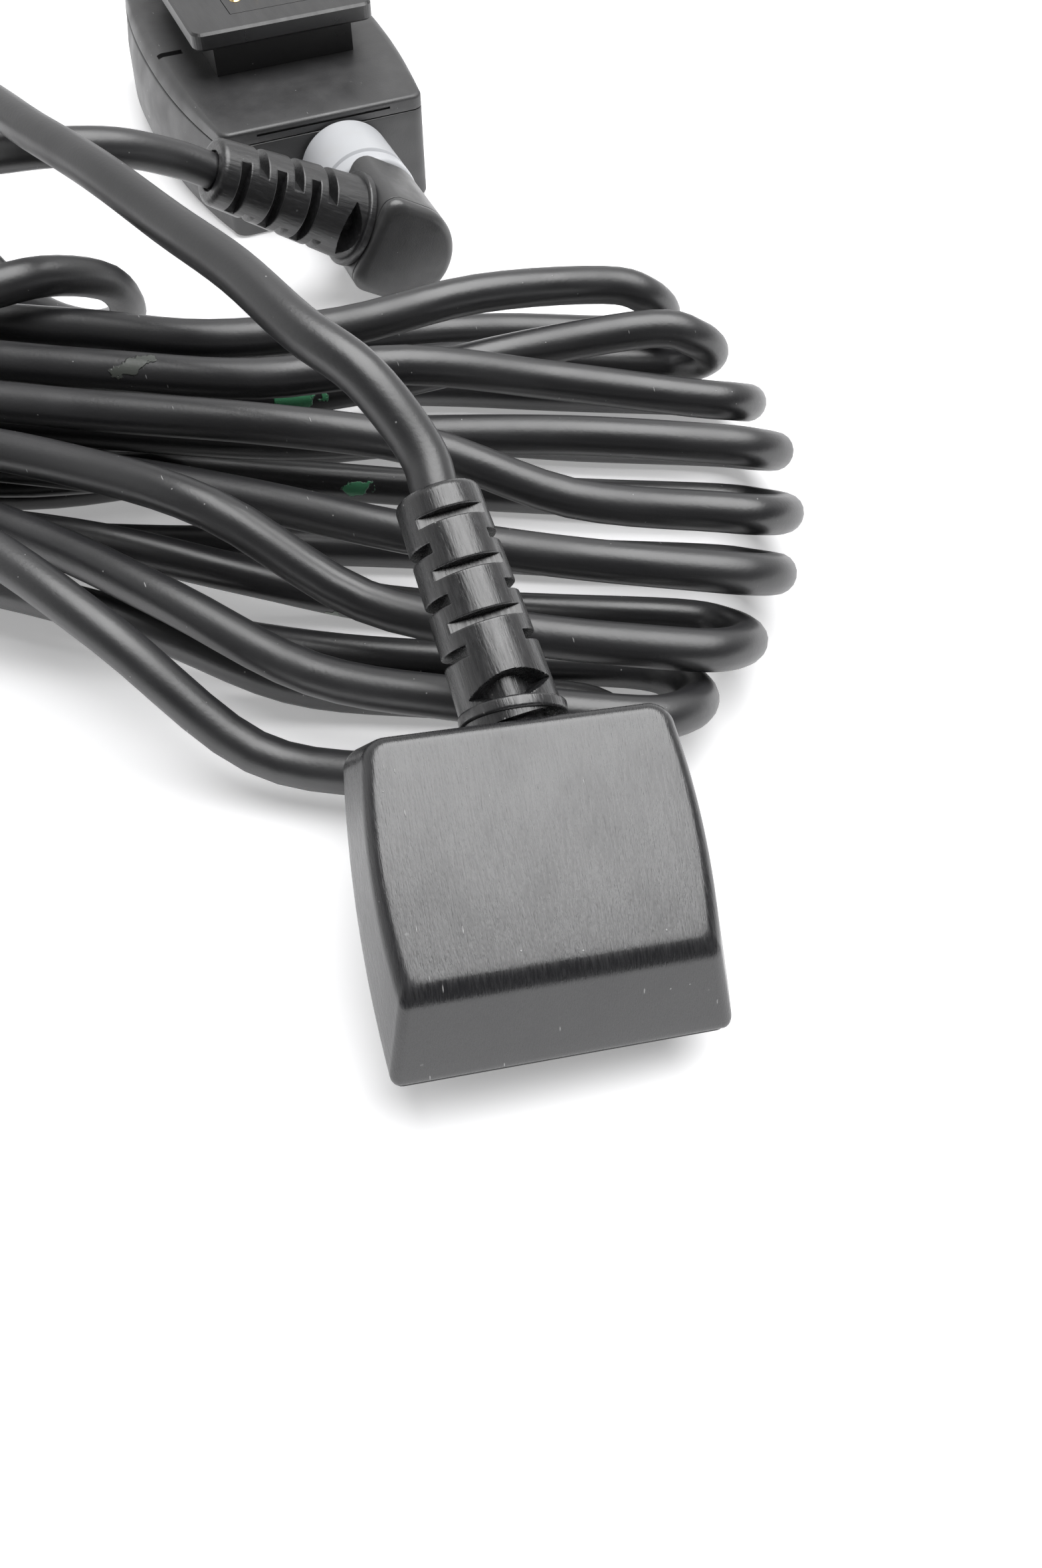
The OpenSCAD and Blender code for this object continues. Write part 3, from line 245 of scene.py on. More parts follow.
class Finish:
    """A procedural finish that reads the object's own coordinates, in millimetres of a
    frame: a piece's own place, so that a grain runs along the piece."""

    def __init__(self, name, color, rough, metal=0.0, level=0.5, place=Matrix.Identity(4)):
        self.made = bpy.data.materials.new(name)
        self.made.use_nodes = True
        self.nodes, self.links = self.made.node_tree.nodes, self.made.node_tree.links
        self.shader = self.nodes["Principled BSDF"]
        self.shader.inputs["Base Color"].default_value = (*color, 1)
        self.shader.inputs["Roughness"].default_value = rough
        self.shader.inputs["Metallic"].default_value = metal
        self.shader.inputs["Specular IOR Level"].default_value = level
        self.color = color
        self.place = place
        self.height = None

    def node(self, kind, **values):
        made = self.nodes.new("ShaderNode" + kind)
        for name, value in values.items():
            setattr(made, name, value)
        return made

    def join(self, source, target):
        if hasattr(source, "links"):
            self.links.new(source, target)
        else:
            target.default_value = source

    def spot(self, size, place=None):
        """Coordinates in a placed frame, size in millimetres to one unit each way."""
        where = self.place if place is None else place
        mapping = self.node("Mapping", vector_type="TEXTURE")
        mapping.inputs["Location"].default_value = where.translation * MM
        mapping.inputs["Rotation"].default_value = where.to_euler("XYZ")
        mapping.inputs["Scale"].default_value = Vector(size) * MM
        self.join(self.node("TexCoord").outputs["Object"], mapping.inputs["Vector"])
        return mapping.outputs["Vector"]

    def noise(self, size, detail=3, rough=0.5, warp=0.0):
        made = self.node("TexNoise")
        made.inputs["Scale"].default_value = 1
        made.inputs["Detail"].default_value = detail
        made.inputs["Roughness"].default_value = rough
        made.inputs["Distortion"].default_value = warp
        self.join(self.spot(size), made.inputs["Vector"])
        return made.outputs["Fac"]

    def remap(self, source, low, high, out_low, out_high):
        made = self.node("MapRange")
        ends = {"From Min": low, "From Max": high, "To Min": out_low, "To Max": out_high}
        for name, value in ends.items():
            made.inputs[name].default_value = value
        self.join(source, made.inputs["Value"])
        return made.outputs["Result"]

    def calc(self, kind, a, b):
        """A step of arithmetic on two textures or numbers."""
        made = self.node("Math", operation=kind)
        self.join(a, made.inputs[0])
        self.join(b, made.inputs[1])
        return made.outputs[0]

    def mix(self, amount, a, b):
        made = self.node("Mix", data_type="RGBA")
        self.join(amount, made.inputs["Factor"])
        self.join(a if hasattr(a, "links") else (*a, 1), made.inputs["A"])
        self.join(b if hasattr(b, "links") else (*b, 1), made.inputs["B"])
        return made.outputs["Result"]

    def paint(self, amount, color):
        """Another colour laid over what is there, by amount."""
        self.color = self.mix(amount, self.color, color)
        self.join(self.color, self.shader.inputs["Base Color"])

    def vary(self, source, low, high):
        """Roughness that follows a texture."""
        self.join(self.remap(source, 0.3, 0.7, low, high), self.shader.inputs["Roughness"])

    def raise_by(self, source, millimetres):
        """Height added to what is there, for the bump."""
        part = self.calc("MULTIPLY", source, millimetres)
        self.height = part if self.height is None else self.calc("ADD", self.height, part)

    def specks(self, size, radius, share):
        """Scattered specks: 1 inside a speck, in a share of the cells, size each way."""
        cells = self.node("TexVoronoi")
        cells.inputs["Scale"].default_value = 1
        self.join(self.spot(size), cells.inputs["Vector"])
        inside = self.remap(cells.outputs["Distance"], radius, radius * 0.55, 0, 1)
        parts = self.node("SeparateColor")
        self.join(cells.outputs["Color"], parts.inputs["Color"])
        chosen = self.calc("LESS_THAN", parts.outputs["Red"], share)
        return self.calc("MULTIPLY", inside, chosen)

    def dust(self, color=(0.42, 0.42, 0.42), amount=0.7, round_share=0.25, hair_share=0.12):
        """Round dust specks, and short pale fibres that lie along the grain."""
        dots = self.calc("MULTIPLY", self.specks((1.6, 1.6, 1.6), 0.055, round_share), amount)
        hairs = self.calc("MULTIPLY", self.specks((0.9, 5, 3.6), 0.07, hair_share), amount)
        both = self.calc("MAXIMUM", dots, hairs)
        self.paint(both, color)
        self.raise_by(both, 0.02)

    def done(self):
        if self.height is not None:
            bump = self.node("Bump")
            bump.inputs["Distance"].default_value = MM
            bump.inputs["Strength"].default_value = 1
            self.join(self.height, bump.inputs["Height"])
            self.join(bump.outputs["Normal"], self.shader.inputs["Normal"])
        return self.made


# Its finish: satin PVC with handling sheen, fine pits and dust. RESIDUE is flecks of old
# green tape and grime: where each sits, its size and its colour.
RESIDUE = [((-20.9, -78.4, 12.6), (2.7, 1.5, 1.2), (0.12, 0.52, 0.25)),
           ((-17.5, -84.1, 4.1), (1.7, 1.0, 0.8), (0.12, 0.5, 0.25)),
           ((-25.4, -98.7, 2.0), (0.8, 0.8, 0.8), (0.28, 0.33, 0.27)),
           ((-36.1, -74.2, 18.3), (2.8, 0.9, 0.9), (0.07, 0.078, 0.068))]
pvc = Finish("cord_pvc", (0.013, 0.013, 0.0145), 0.46, level=1.0)
pvc.vary(pvc.noise((9, 9, 9)), 0.33, 0.46)
pvc.paint(pvc.remap(pvc.noise((14, 14, 6), 4), 0.42, 0.75, 0, 0.5), (0.028, 0.028, 0.03))
pvc.raise_by(pvc.noise((0.35, 0.35, 0.35), 3), 0.014)
pvc.raise_by(pvc.noise((5, 5, 5), 2), 0.05)
for place, size, color in RESIDUE:
    away = pvc.node("VectorMath", operation="LENGTH")
    pvc.join(pvc.spot(size, Matrix.Translation(place)), away.inputs[0])
    edge = pvc.remap(pvc.noise((1.1, 1.1, 1.1), 3), 0.3, 0.7, -0.45, 0.45)
    patch = pvc.remap(pvc.calc("ADD", away.outputs["Value"], edge), 1.02, 0.86, 0, 1)
    pvc.paint(patch, color)
    pvc.raise_by(patch, 0.12)
pvc.dust(amount=0.6, round_share=0.8, hair_share=0.3)
cord_data.materials.append(pvc.done())

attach(cord, "cord_set")
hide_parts("cord_lead", "cord_hank", "cord_tail")

# ---------------------------------------------------------------- head cover
# The camera head's cover: one moulding of black ABS, 27 mm wide, with drafted and slightly
# bowed sides, a front that slopes up to the top over a soft fold, and a fine satin grain
# brushed along it. Four screws from below hold it on the foot.
FOOT_H, COVER_H, COVER_W = 5.7, 5.8, 27.0
COVER_TOP = FOOT_H + COVER_H
COVER_FRONT, COVER_BACK = -1.5, 25.1
COVER_WALL, COVER_DRAFT, BACK_DRAFT, SIDE_BULGE = 1.6, 1.5, 0.9, 0.6
SLOPE_RUN, EDGE_R, FOLD_R, FRONT_R, BACK_R, RIM_R = 6.3, 0.9, 3.0, 0.9, 2.0, 0.8
slope_angle = math.atan(COVER_H / SLOPE_RUN)
fold_in = FOLD_R * math.tan(slope_angle / 2)
# The front's wall lies on the slope, so it is this much thicker along the head.
SLOPED_WALL = 1.36
# The notch for the boot's neck, in its seat's frame, and the window for the key.
NECK_R, NECK_FROM, NECK_TO = 2.75, -28, -21
WINDOW = ((10.5, 12.9, 7.15), (16.0, 19.1, 9.4))


def edge_in(z):
    """How far the sides draw in at the rounded top edge."""
    up = z - COVER_TOP + EDGE_R
    return EDGE_R - math.sqrt(max(0, EDGE_R ** 2 - up ** 2)) if up > 0 else 0


def front_y(z):
    """Where the front is at height z: up the slope, then round the fold."""
    if z < COVER_TOP - fold_in * math.sin(slope_angle):
        return COVER_FRONT + (z - FOOT_H) / math.tan(slope_angle)
    up = z - COVER_TOP + FOLD_R
    return COVER_FRONT + SLOPE_RUN + fold_in - math.sqrt(max(0, FOLD_R ** 2 - up ** 2))


def arc(x, y, radius, start, stop, steps):
    angles = [lerp(start, stop, i / steps) for i in range(steps + 1)]
    return [(x + radius * cosd(angle), y + radius * sind(angle)) for angle in angles]


def cover_level(z, inset=0.0, drop=0.0):
    """The cover's outline at height z, moved in by inset and down by drop."""
    rf, rb = max(0.5, FRONT_R - inset), max(0.6, BACK_R - inset - edge_in(z))
    x = COVER_W / 2 - COVER_DRAFT * (z - FOOT_H) / COVER_H - edge_in(z) - inset
    y0 = front_y(z) + inset * SLOPED_WALL
    y1 = COVER_BACK - BACK_DRAFT * (z - FOOT_H) / COVER_H - edge_in(z) - inset
    bow = [(i / 24, SIDE_BULGE * (1 - (i / 12 - 1) ** 2)) for i in range(1, 24)]
    side = [(x + out, lerp(y0 + rf, y1 - rb, t)) for t, out in bow]
    line = (arc(x - rf, y0 + rf, rf, -90, 0, 10) + side + arc(x - rb, y1 - rb, rb, 0, 90, 12)
            + arc(rb - x, y1 - rb, rb, 90, 180, 12) + [(-px, py) for px, py in reversed(side)]
            + arc(rf - x, y0 + rf, rf, 180, 270, 10))
    return [Vector((px, py, z - drop)) for px, py in line]


def loft(name, rings, place, round_about=False):
    """A closed skin over rings of equal count, put in its place. It is capped at both
    ends, or goes round about from the last ring to the first."""
    form = bmesh.new()
    rows = [[form.verts.new((place @ p) * MM) for p in ring] for ring in rings]
    for low, high in zip(rows, rows[1:] + (rows[:1] if round_about else [])):
        for i in range(len(low)):
            j = (i + 1) % len(low)
            form.faces.new((low[i], low[j], high[j], high[i]))
    if not round_about:
        form.faces.new(list(reversed(rows[0])))
        form.faces.new(rows[-1])
    bmesh.ops.recalc_face_normals(form, faces=form.faces)
    return settle(name, form)


def settle(name, form):
    """A finished object from a bmesh: smooth faces, crisp past 32 degrees."""
    mesh = bpy.data.meshes.new(name)
    form.to_mesh(mesh)
    form.free()
    made = bpy.data.objects.new(name, mesh)
    bpy.context.collection.objects.link(made)
    crisp(made)
    return made


def crisp(piece, degrees=32):
    piece.data.shade_smooth()
    piece.data.set_sharp_from_angle(angle=math.radians(degrees))


def prism(line, low, high, place):
    """A straight cutter over an outline in X and Y, from low to high in Z."""
    return loft("cutter", [[Vector((x, y, z)) for x, y in line] for z in (low, high)], place)


def bake(piece):
    """Turns what a piece's modifiers make into its own mesh."""
    bpy.context.view_layer.update()
    seen = piece.evaluated_get(bpy.context.evaluated_depsgraph_get())
    made, old = bpy.data.meshes.new_from_object(seen), piece.data
    piece.modifiers.clear()
    piece.data = made
    bpy.data.meshes.remove(old)
    made.name = piece.name


def carve(piece, cutters, degrees=32):
    """Takes the cutters out of a piece and deletes them."""
    for cutter in cutters:
        step = piece.modifiers.new("carve", "BOOLEAN")
        step.operation, step.solver, step.object = "DIFFERENCE", "EXACT", cutter
    bake(piece)
    for cutter in cutters:
        bpy.data.objects.remove(cutter, do_unlink=True)
    crisp(piece, degrees)


# The shell goes down inside from under the top, out at the rim, up outside and over.
rise = ([FOOT_H, FOOT_H + RIM_R + 0.05, 7.2, 8.8, 10.2]
        + [COVER_TOP - EDGE_R * (1 - cosd(a)) for a in range(90, -1, -9)]
        + [COVER_TOP - FOLD_R * (1 - math.cos(slope_angle * i / 12)) for i in range(13)])
rise = sorted({round(z, 4) for z in rise})
rise = [z for z, after in zip(rise, rise[1:] + [99]) if after - z > 0.004]
outer = [cover_level(z) for z in rise]
inner = [cover_level(z, COVER_WALL, COVER_WALL) for z in reversed(rise) if z > 10]
inner.append(cover_level(FOOT_H, COVER_WALL))
top_middle = Vector((0, 15, COVER_TOP))
flat_top = [[share * p + (1 - share) * top_middle for p in outer[-1]] for share in (0.96, 0.85)]
outer[0:2] = [cover_level(FOOT_H + RIM_R * (1 - sind(a)), RIM_R * (1 - cosd(a)))
              for a in range(90, -1, -15)]
head_shell = loft("head_shell", inner + outer + flat_top, HEAD)
neck_way = ([(NECK_R, -3), (NECK_R, 0)] + arc(0, 0, NECK_R, 10, 170, 16)
            + [(-NECK_R, 0), (-NECK_R, -3)])
seat = Matrix.Translation((BOOT_SEAT.x, 0, BOOT_SEAT.z)) @ rotated(90, "X")
(x0, y0, z0), (x1, y1, z1) = WINDOW
window = [(y0, z0), (y1, z0), (y1, z1), (y0, z1)]
# Stands an outline drawn in Y and Z up, so that it is pushed along X.
stand = Matrix(((0, 0, 1, 0), (1, 0, 0, 0), (0, 1, 0, 0), (0, 0, 0, 1)))
carve(head_shell, [prism(neck_way, NECK_FROM, NECK_TO, HEAD @ seat), prism(window, x0, x1, HEAD @ stand)])

cover_abs = Finish("head_abs", (0.013, 0.013, 0.0145), 0.3, level=1.0, place=HEAD)
streak = cover_abs.noise((0.1, 1.5, 0.4), 2, 0.5)
fine = cover_abs.noise((0.07, 0.35, 0.2), 1)
broad = cover_abs.noise((3.5, 7, 4), 4)
grain = cover_abs.calc("ADD", cover_abs.calc("MULTIPLY", streak, 0.6),
                      cover_abs.calc("MULTIPLY", broad, 0.4))
cover_abs.vary(grain, 0.2, 0.36)
cover_abs.paint(cover_abs.remap(streak, 0.4, 0.7, 0, 0.35), (0.045, 0.045, 0.047))
cover_abs.raise_by(streak, 0.014)
cover_abs.raise_by(fine, 0.012)
cover_abs.raise_by(cover_abs.noise((6, 8, 6), 2), 0.05)
scuffs = cover_abs.calc("MULTIPLY", cover_abs.specks((2.2, 1.3, 1.5), 0.1, 0.12), 0.3)
cover_abs.paint(scuffs, (0.3, 0.3, 0.3))
cover_abs.dust(amount=0.75, round_share=0.22, hair_share=0.8)
head_shell.data.materials.append(cover_abs.done())
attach(head_shell, "cord_set")
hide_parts("head_cover")

# ---------------------------------------------------------------- foot and its fittings
# The foot block under the cover, of matte black ABS with an eroded surface; its channel
# takes the camera's accessory rail. Spring-steel guides line the channel, gilt contacts
# stand in a glossy block, and zinc-plated screws close the head from below.


def dress(finish, *names):
    """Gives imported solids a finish."""
    made = finish.done()
    for name in names:
        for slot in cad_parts[name].material_slots:
            slot.material = made
    return made


foot_abs = Finish("foot_abs", (0.03, 0.03, 0.032), 0.5, level=0.6, place=HEAD)
foot_abs.vary(foot_abs.noise((2.5, 2.5, 2.5)), 0.44, 0.58)
foot_abs.raise_by(foot_abs.noise((0.18, 0.18, 0.18), 3), 0.02)
foot_abs.paint(foot_abs.remap(foot_abs.noise((4, 7, 4), 4), 0.5, 0.8, 0, 0.6), (0.06, 0.06, 0.062))
foot_abs.dust(amount=0.5)
dress(foot_abs, "foot_base")

gloss_abs = Finish("gloss_abs", (0.02, 0.02, 0.022), 0.26, level=0.7, place=HEAD)
gloss_abs.vary(gloss_abs.noise((3, 3, 3)), 0.2, 0.34)
gloss_abs.raise_by(gloss_abs.noise((0.5, 0.5, 0.5), 2), 0.008)
gloss_abs.dust(amount=0.4)
gloss_made = dress(gloss_abs, "contact_block")


def joined(name, parts):
    """One object of several closed forms."""
    whole = parts[0]
    with bpy.context.temp_override(active_object=whole, object=whole, selected_objects=parts,
                                   selected_editable_objects=parts):
        bpy.ops.object.join()
    whole.name = whole.data.name = name
    return whole


# The release key: a glossy moulding whose face follows the drafted, bowed side of the
# cover, with a flange behind its window and two tines whose ramps lift the lock pin.
KEY_Y, KEY_Z, KEY_HALF, KEY_R = 16.0, 8.275, 2.9, 0.925
KEY_FLANGE, KEY_FLANGE_X, KEY_FLANGE_T, KEY_WEB_X = 3.6, 10.77, 0.6, 8.87
TINE_FROM, TINE_IN, TINE_OUT, TINE_ROOT, RAMP = 2.2, 1.4, 2.2, 0.5, 5.465
KEY_SUNK, KEY_EDGE = 0.07, 0.2
key_low, key_high = KEY_Z - KEY_R, KEY_Z + KEY_R


def flush(y, z):
    """The cover's side at a point of the key's face."""
    along = (2 * y - COVER_FRONT - COVER_BACK) / (COVER_BACK - COVER_FRONT)
    return COVER_W / 2 - COVER_DRAFT * (z - FOOT_H) / COVER_H + SIDE_BULGE * (1 - along ** 2)


def key_ring(sunk, inset, x=None):
    """The key's outline, drawn in by inset: at x, or sunk below the cover's side."""
    r, far = KEY_R - inset, KEY_HALF - KEY_R
    line = arc(KEY_Y + far, KEY_Z, r, -90, 90, 16) + arc(KEY_Y - far, KEY_Z, r, 90, 270, 16)
    return [Vector((flush(y, z) - sunk if x is None else x, y, z)) for y, z in line]


def key_plate(half):
    return [(-half, key_low), (half, key_low), (half, key_high), (-half, key_high)]


face = [key_ring(KEY_SUNK + KEY_EDGE * (1 - sind(a)), KEY_EDGE * (1 - cosd(a)))
        for a in range(0, 91, 15)]
tine = [(TINE_FROM, key_low), (TINE_FROM, TINE_FROM + RAMP), (key_high - RAMP, key_high),
        (KEY_WEB_X + TINE_ROOT, key_high), (KEY_WEB_X + TINE_ROOT, key_low)]
key_stand = HEAD @ Matrix.Translation((0, KEY_Y, 0)) @ stand
tine_stand = HEAD @ Matrix.Translation((0, KEY_Y, 0)) @ rotated(90, "X")
key = joined("release_key", [
    loft("key", [key_ring(0, 0, KEY_FLANGE_X - 0.1)] + face, HEAD),
    prism(key_plate(KEY_FLANGE), KEY_FLANGE_X - KEY_FLANGE_T, KEY_FLANGE_X, key_stand),
    prism(key_plate(TINE_OUT), KEY_WEB_X, KEY_FLANGE_X, key_stand),
    prism(tine, TINE_IN, TINE_OUT, tine_stand),
    prism(tine, -TINE_OUT, -TINE_IN, tine_stand)])
key.data.materials.append(gloss_made)
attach(key, "button")
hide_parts("release_button")

spring_steel = Finish("spring_steel", (0.6, 0.61, 0.63), 0.3, metal=1.0, place=HEAD)
spring_steel.vary(spring_steel.noise((0.08, 3, 0.5), 3), 0.22, 0.42)
spring_steel.raise_by(spring_steel.noise((0.06, 2.5, 0.4), 2), 0.003)
tarnish = spring_steel.remap(spring_steel.noise((2, 2, 2), 4), 0.55, 0.75, 0, 0.5)
spring_steel.paint(tarnish, (0.42, 0.4, 0.37))
steel_made = dress(spring_steel, "guide_rails", "cord_clamp", "lock_pin")

# The two springs: 0.24 mm wire, wound on the pin's top and behind the key. The key's
# press shortens both, one against the cover's ceiling and one against its stop.
WIRE_R, WIRE_SIDES, TURN_POINTS = 0.12, 6, 16
PIN_X, PIN_TOP, CEILING, PIN_COIL_R, PIN_TURNS = 2.0, 8.7, 9.9, 0.95, 2
STOP_X, KEY_COIL_R, KEY_TURNS = 4.6, 0.72, 6


def spring_tree():
    """Wire wound evenly up Z: a round section swept along a spiral."""
    tree = bpy.data.node_groups.new("wound_spring", "GeometryNodeTree")
    tree.interface.new_socket("Spring", in_out="OUTPUT", socket_type="NodeSocketGeometry")
    for name in ("Coil Radius", "Wire Radius", "Rise", "Turns"):
        tree.interface.new_socket(name, in_out="INPUT", socket_type="NodeSocketFloat")
    kinds = ("NodeGroupInput", "GeometryNodeCurveSpiral", "GeometryNodeCurvePrimitiveCircle",
             "GeometryNodeCurveToMesh", "GeometryNodeRealizeInstances",
             "GeometryNodeSetMaterial", "NodeGroupOutput")
    sizes, spiral, section, sweep, real, coat, out = (tree.nodes.new(kind) for kind in kinds)
    spiral.inputs["Resolution"].default_value = TURN_POINTS
    spiral.inputs["Reverse"].default_value = True
    section.inputs["Resolution"].default_value = WIRE_SIDES
    sweep.inputs["Fill Caps"].default_value = True
    coat.inputs["Material"].default_value = steel_made
    joins = ((sizes, "Coil Radius", spiral, "Start Radius"), (sizes, "Coil Radius", spiral, "End Radius"),
             (sizes, "Rise", spiral, "Height"), (sizes, "Turns", spiral, "Rotations"),
             (sizes, "Wire Radius", section, "Radius"), (spiral, "Curve", sweep, "Curve"),
             (section, "Curve", sweep, "Profile Curve"), (sweep, "Mesh", real, "Geometry"),
             (real, "Geometry", coat, "Geometry"), (coat, "Geometry", out, "Spring"))
    for source, given, target, taken in joins:
        tree.links.new(source.outputs[given], target.inputs[taken])
    return tree


wound_spring = spring_tree()


def spring(name, radius, turns, low, high, place):
    """A coil from low to high along the place's Z."""
    height = high - low
    made = bpy.data.objects.new(name, bpy.data.meshes.new(name))
    bpy.context.collection.objects.link(made)
    winding = made.modifiers.new("winding", "NODES")
    winding.node_group = wound_spring
    sizes = {"Coil Radius": radius * MM, "Wire Radius": WIRE_R * MM,
             "Rise": (height - 2 * WIRE_R) * MM, "Turns": turns}
    for socket in wound_spring.interface.items_tree:
        if socket.in_out == "INPUT":
            winding[socket.identifier] = float(sizes[socket.name])
    bake(made)
    foot = place @ Vector((0, 0, low + WIRE_R)) * MM
    made.data.transform(Matrix.Translation(foot) @ place.to_3x3().to_4x4())
    crisp(made)
    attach(made, "cord_set")
    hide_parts(name.replace("coil", "spring"))
    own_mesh(made)


pin_axis = HEAD @ Matrix.Translation((PIN_X, KEY_Y, 0))
key_axis = HEAD @ Matrix.Translation((0, KEY_Y, KEY_Z)) @ rotated(90, "Y")
spring("lock_coil", PIN_COIL_R, PIN_TURNS, PIN_TOP, CEILING, pin_axis)
spring("button_coil", KEY_COIL_R, KEY_TURNS, STOP_X, KEY_WEB_X, key_axis)

# The screws' zinc plate, the contacts' gilt, the boards with their tracks and solder, and
# the four cores, each in its own colour.
zinc = Finish("zinc_screws", (0.5, 0.51, 0.52), 0.34, metal=1.0)
zinc.vary(zinc.noise((0.5, 0.5, 0.5)), 0.26, 0.46)
zinc.paint(zinc.remap(zinc.noise((0.7, 0.7, 0.7), 4), 0.5, 0.75, 0, 0.7), (0.33, 0.32, 0.3))
zinc.raise_by(zinc.noise((0.15, 0.15, 0.15), 2), 0.008)
dress(zinc, "foot_screws", "shoe_screws", "rail_screws")

gilt = Finish("gilt_contacts", (0.8, 0.6, 0.28), 0.24, metal=1.0)
gilt.vary(gilt.noise((0.4, 0.4, 0.4)), 0.18, 0.34)
gilt.paint(gilt.remap(gilt.noise((0.6, 0.6, 0.6), 4), 0.52, 0.75, 0, 0.6), (0.55, 0.42, 0.24))
dress(gilt, "contact_pins", "plug_pins", "socket_contacts", "shoe_contacts")

board = Finish("green_board", (0.03, 0.13, 0.06), 0.32)
tracks = board.node("TexBrick")
tracks.inputs["Scale"].default_value = 1
tracks.inputs["Color1"].default_value = (0.03, 0.13, 0.06, 1)
tracks.inputs["Color2"].default_value = (0.035, 0.15, 0.07, 1)
tracks.inputs["Mortar"].default_value = (0.05, 0.22, 0.11, 1)
tracks.inputs["Mortar Size"].default_value = 0.08
board.join(board.spot((1.4, 1.4, 1.4)), tracks.inputs["Vector"])
board.color = tracks.outputs["Color"]
solder = board.calc("MULTIPLY", board.specks((1.5, 1.5, 1.5), 0.2, 0.3), 0.9)
board.paint(solder, (0.6, 0.6, 0.58))
board.raise_by(tracks.outputs["Fac"], 0.02)
dress(board, "terminal_board", "shoe_board")

CORE_COLORS = [(0.35, 0.03, 0.03), (0.6, 0.6, 0.57), (0.55, 0.34, 0.03), (0.04, 0.12, 0.33)]
cores = Finish("core_insulation", CORE_COLORS[0], 0.35)
CORE_CELLS = [((1.3, 60, 1.3), 0.25), ((1.9, 60, 1.1), 0.3), ((2.3, 60, 1.7), 0.3)]
for (cell, share), color in zip(CORE_CELLS, CORE_COLORS[1:]):
    cores.paint(cores.specks(cell, 9, share), color)
cores.raise_by(cores.noise((0.4, 0.4, 0.4), 2), 0.01)
dress(cores, "foot_wires", "plug_wires", "shoe_wires")

# ---------------------------------------------------------------- boots
# Two strain reliefs moulded in soft black PVC, pulled over the cord's ends: a tapered
# sleeve with slots by turns on top and beside, a pointed opening at its base that shows
# the core, and a flat ring against the housing. A neck clips each into its housing.
SLOT_PITCH, SLOT_GAP, TIP_LAND = 4.3, 0.8, 2.7
CORE_R = CORD_D / 2 + 0.35
EYE_AT, EYE_UP, EYE_WIDE, EYE_LIP = 2.4, 1.1, 3.3, 0.16
LIP_R, TIP_R = 0.14, 0.75
SLEEVE_SIDES, SLEEVE_STEP = 180, 0.4
# A sleeve's outer radius at its base and at its tip, and a ring's radius and thickness.
HEAD_SLEEVE, HEAD_RING = (4.1, 3.55), (4.4, 1.1)
PLUG_SLEEVE, PLUG_RING, PLUG_SLOT_GAP = (5.0, 3.7), (5.5, 1.0), 1.1
# The necks behind the rings, as lines of (radius, height) from the wire hole outwards.
HEAD_NECK = [(0.4, -6.55), (1.9, -6.55), (1.9, -3.7), (2.95, -3.7), (2.95, -2.5), (2.6, -2.5), (2.6, 0)]
PLUG_NECK = [(0.4, -2), (3.4, -2), (3.4, 0)]


def lathe(line, sides=96):
    """Rings of a closed turned form from a line of (radius, height)."""
    return [[Vector((r * cosd(360 * i / sides), r * sind(360 * i / sides), z)) for i in range(sides)]
            for r, z in line]


def slot_r(outer_r, turned, past):
    """The radius that a slot leaves at an angle from its middle and past its edge. Its
    floor is a chord, and its lips are softly rounded."""
    across = abs(cosd(turned))
    if past >= LIP_R or across < 0.5 or CORE_R / across >= outer_r:
        return outer_r
    if past < 0:
        return CORE_R / across
    sink = LIP_R - math.sqrt(LIP_R ** 2 - (LIP_R - past) ** 2)
    return outer_r - min(sink, outer_r - CORE_R / across)


def sleeve_rings(radii, length, first, gap=SLOT_GAP):
    """The slotted sleeve as rings up its axis. The first slot below the tip opens at the
    angle `first`, the next a quarter turn on, half a pitch lower."""
    base_r, tip_r = radii
    count = int((length - TIP_LAND - EYE_AT - EYE_UP - SLOT_GAP) / SLOT_PITCH * 2) + 1
    slots = [(length - TIP_LAND - i * SLOT_PITCH / 2, first + 90 * (i % 2)) for i in range(count)]
    heights = {round(i * SLEEVE_STEP, 3) for i in range(int((length - TIP_R) / SLEEVE_STEP))}
    heights |= {round(EYE_AT + EYE_UP * i / 14, 3) for i in range(-15, 16)}
    for mid, _ in slots:
        heights = {z for z in heights if abs(abs(z - mid) - gap / 2) > 0.16}
        heights |= {round(mid + way * (gap / 2 + step), 4) for way in (-1, 1)
                    for step in (-0.3, -0.002, 0.002, 0.02, 0.05, 0.09, LIP_R, 0.25)}
    rings = []
    for z in sorted(heights):
        outer_r = lerp(base_r, tip_r, z / (length - TIP_R))
        ring = []
        for i in range(SLEEVE_SIDES):
            angle = 360 * i / SLEEVE_SIDES
            r = min(slot_r(outer_r, angle - at, abs(z - mid) - gap / 2) for mid, at in slots)
            along = outer_r * abs(sind(angle - first))
            if abs(cosd(angle - first)) > 0.3 and along < EYE_WIDE:
                room = EYE_UP * (1 - (along / EYE_WIDE) ** 2) - abs(z - EYE_AT)
                r = min(r, lerp(outer_r, CORE_R, smooth(room / EYE_LIP + 0.35)))
            ring.append(Vector((r * cosd(angle), r * sind(angle), z)))
        rings.append(ring)
    # The rounded tip, and a shallow groove where the cord comes out.
    tip = [(tip_r - TIP_R * (1 - cosd(a)), length - TIP_R + TIP_R * sind(a)) for a in range(0, 91, 10)]
    tip += [(CORD_D / 2 + wide, length - deep)
            for wide, deep in ((0.32, 0), (0.24, 0.06), (0.22, 0.5), (-0.02, 0.5), (-0.02, 0))]
    return rings + lathe(tip, SLEEVE_SIDES)


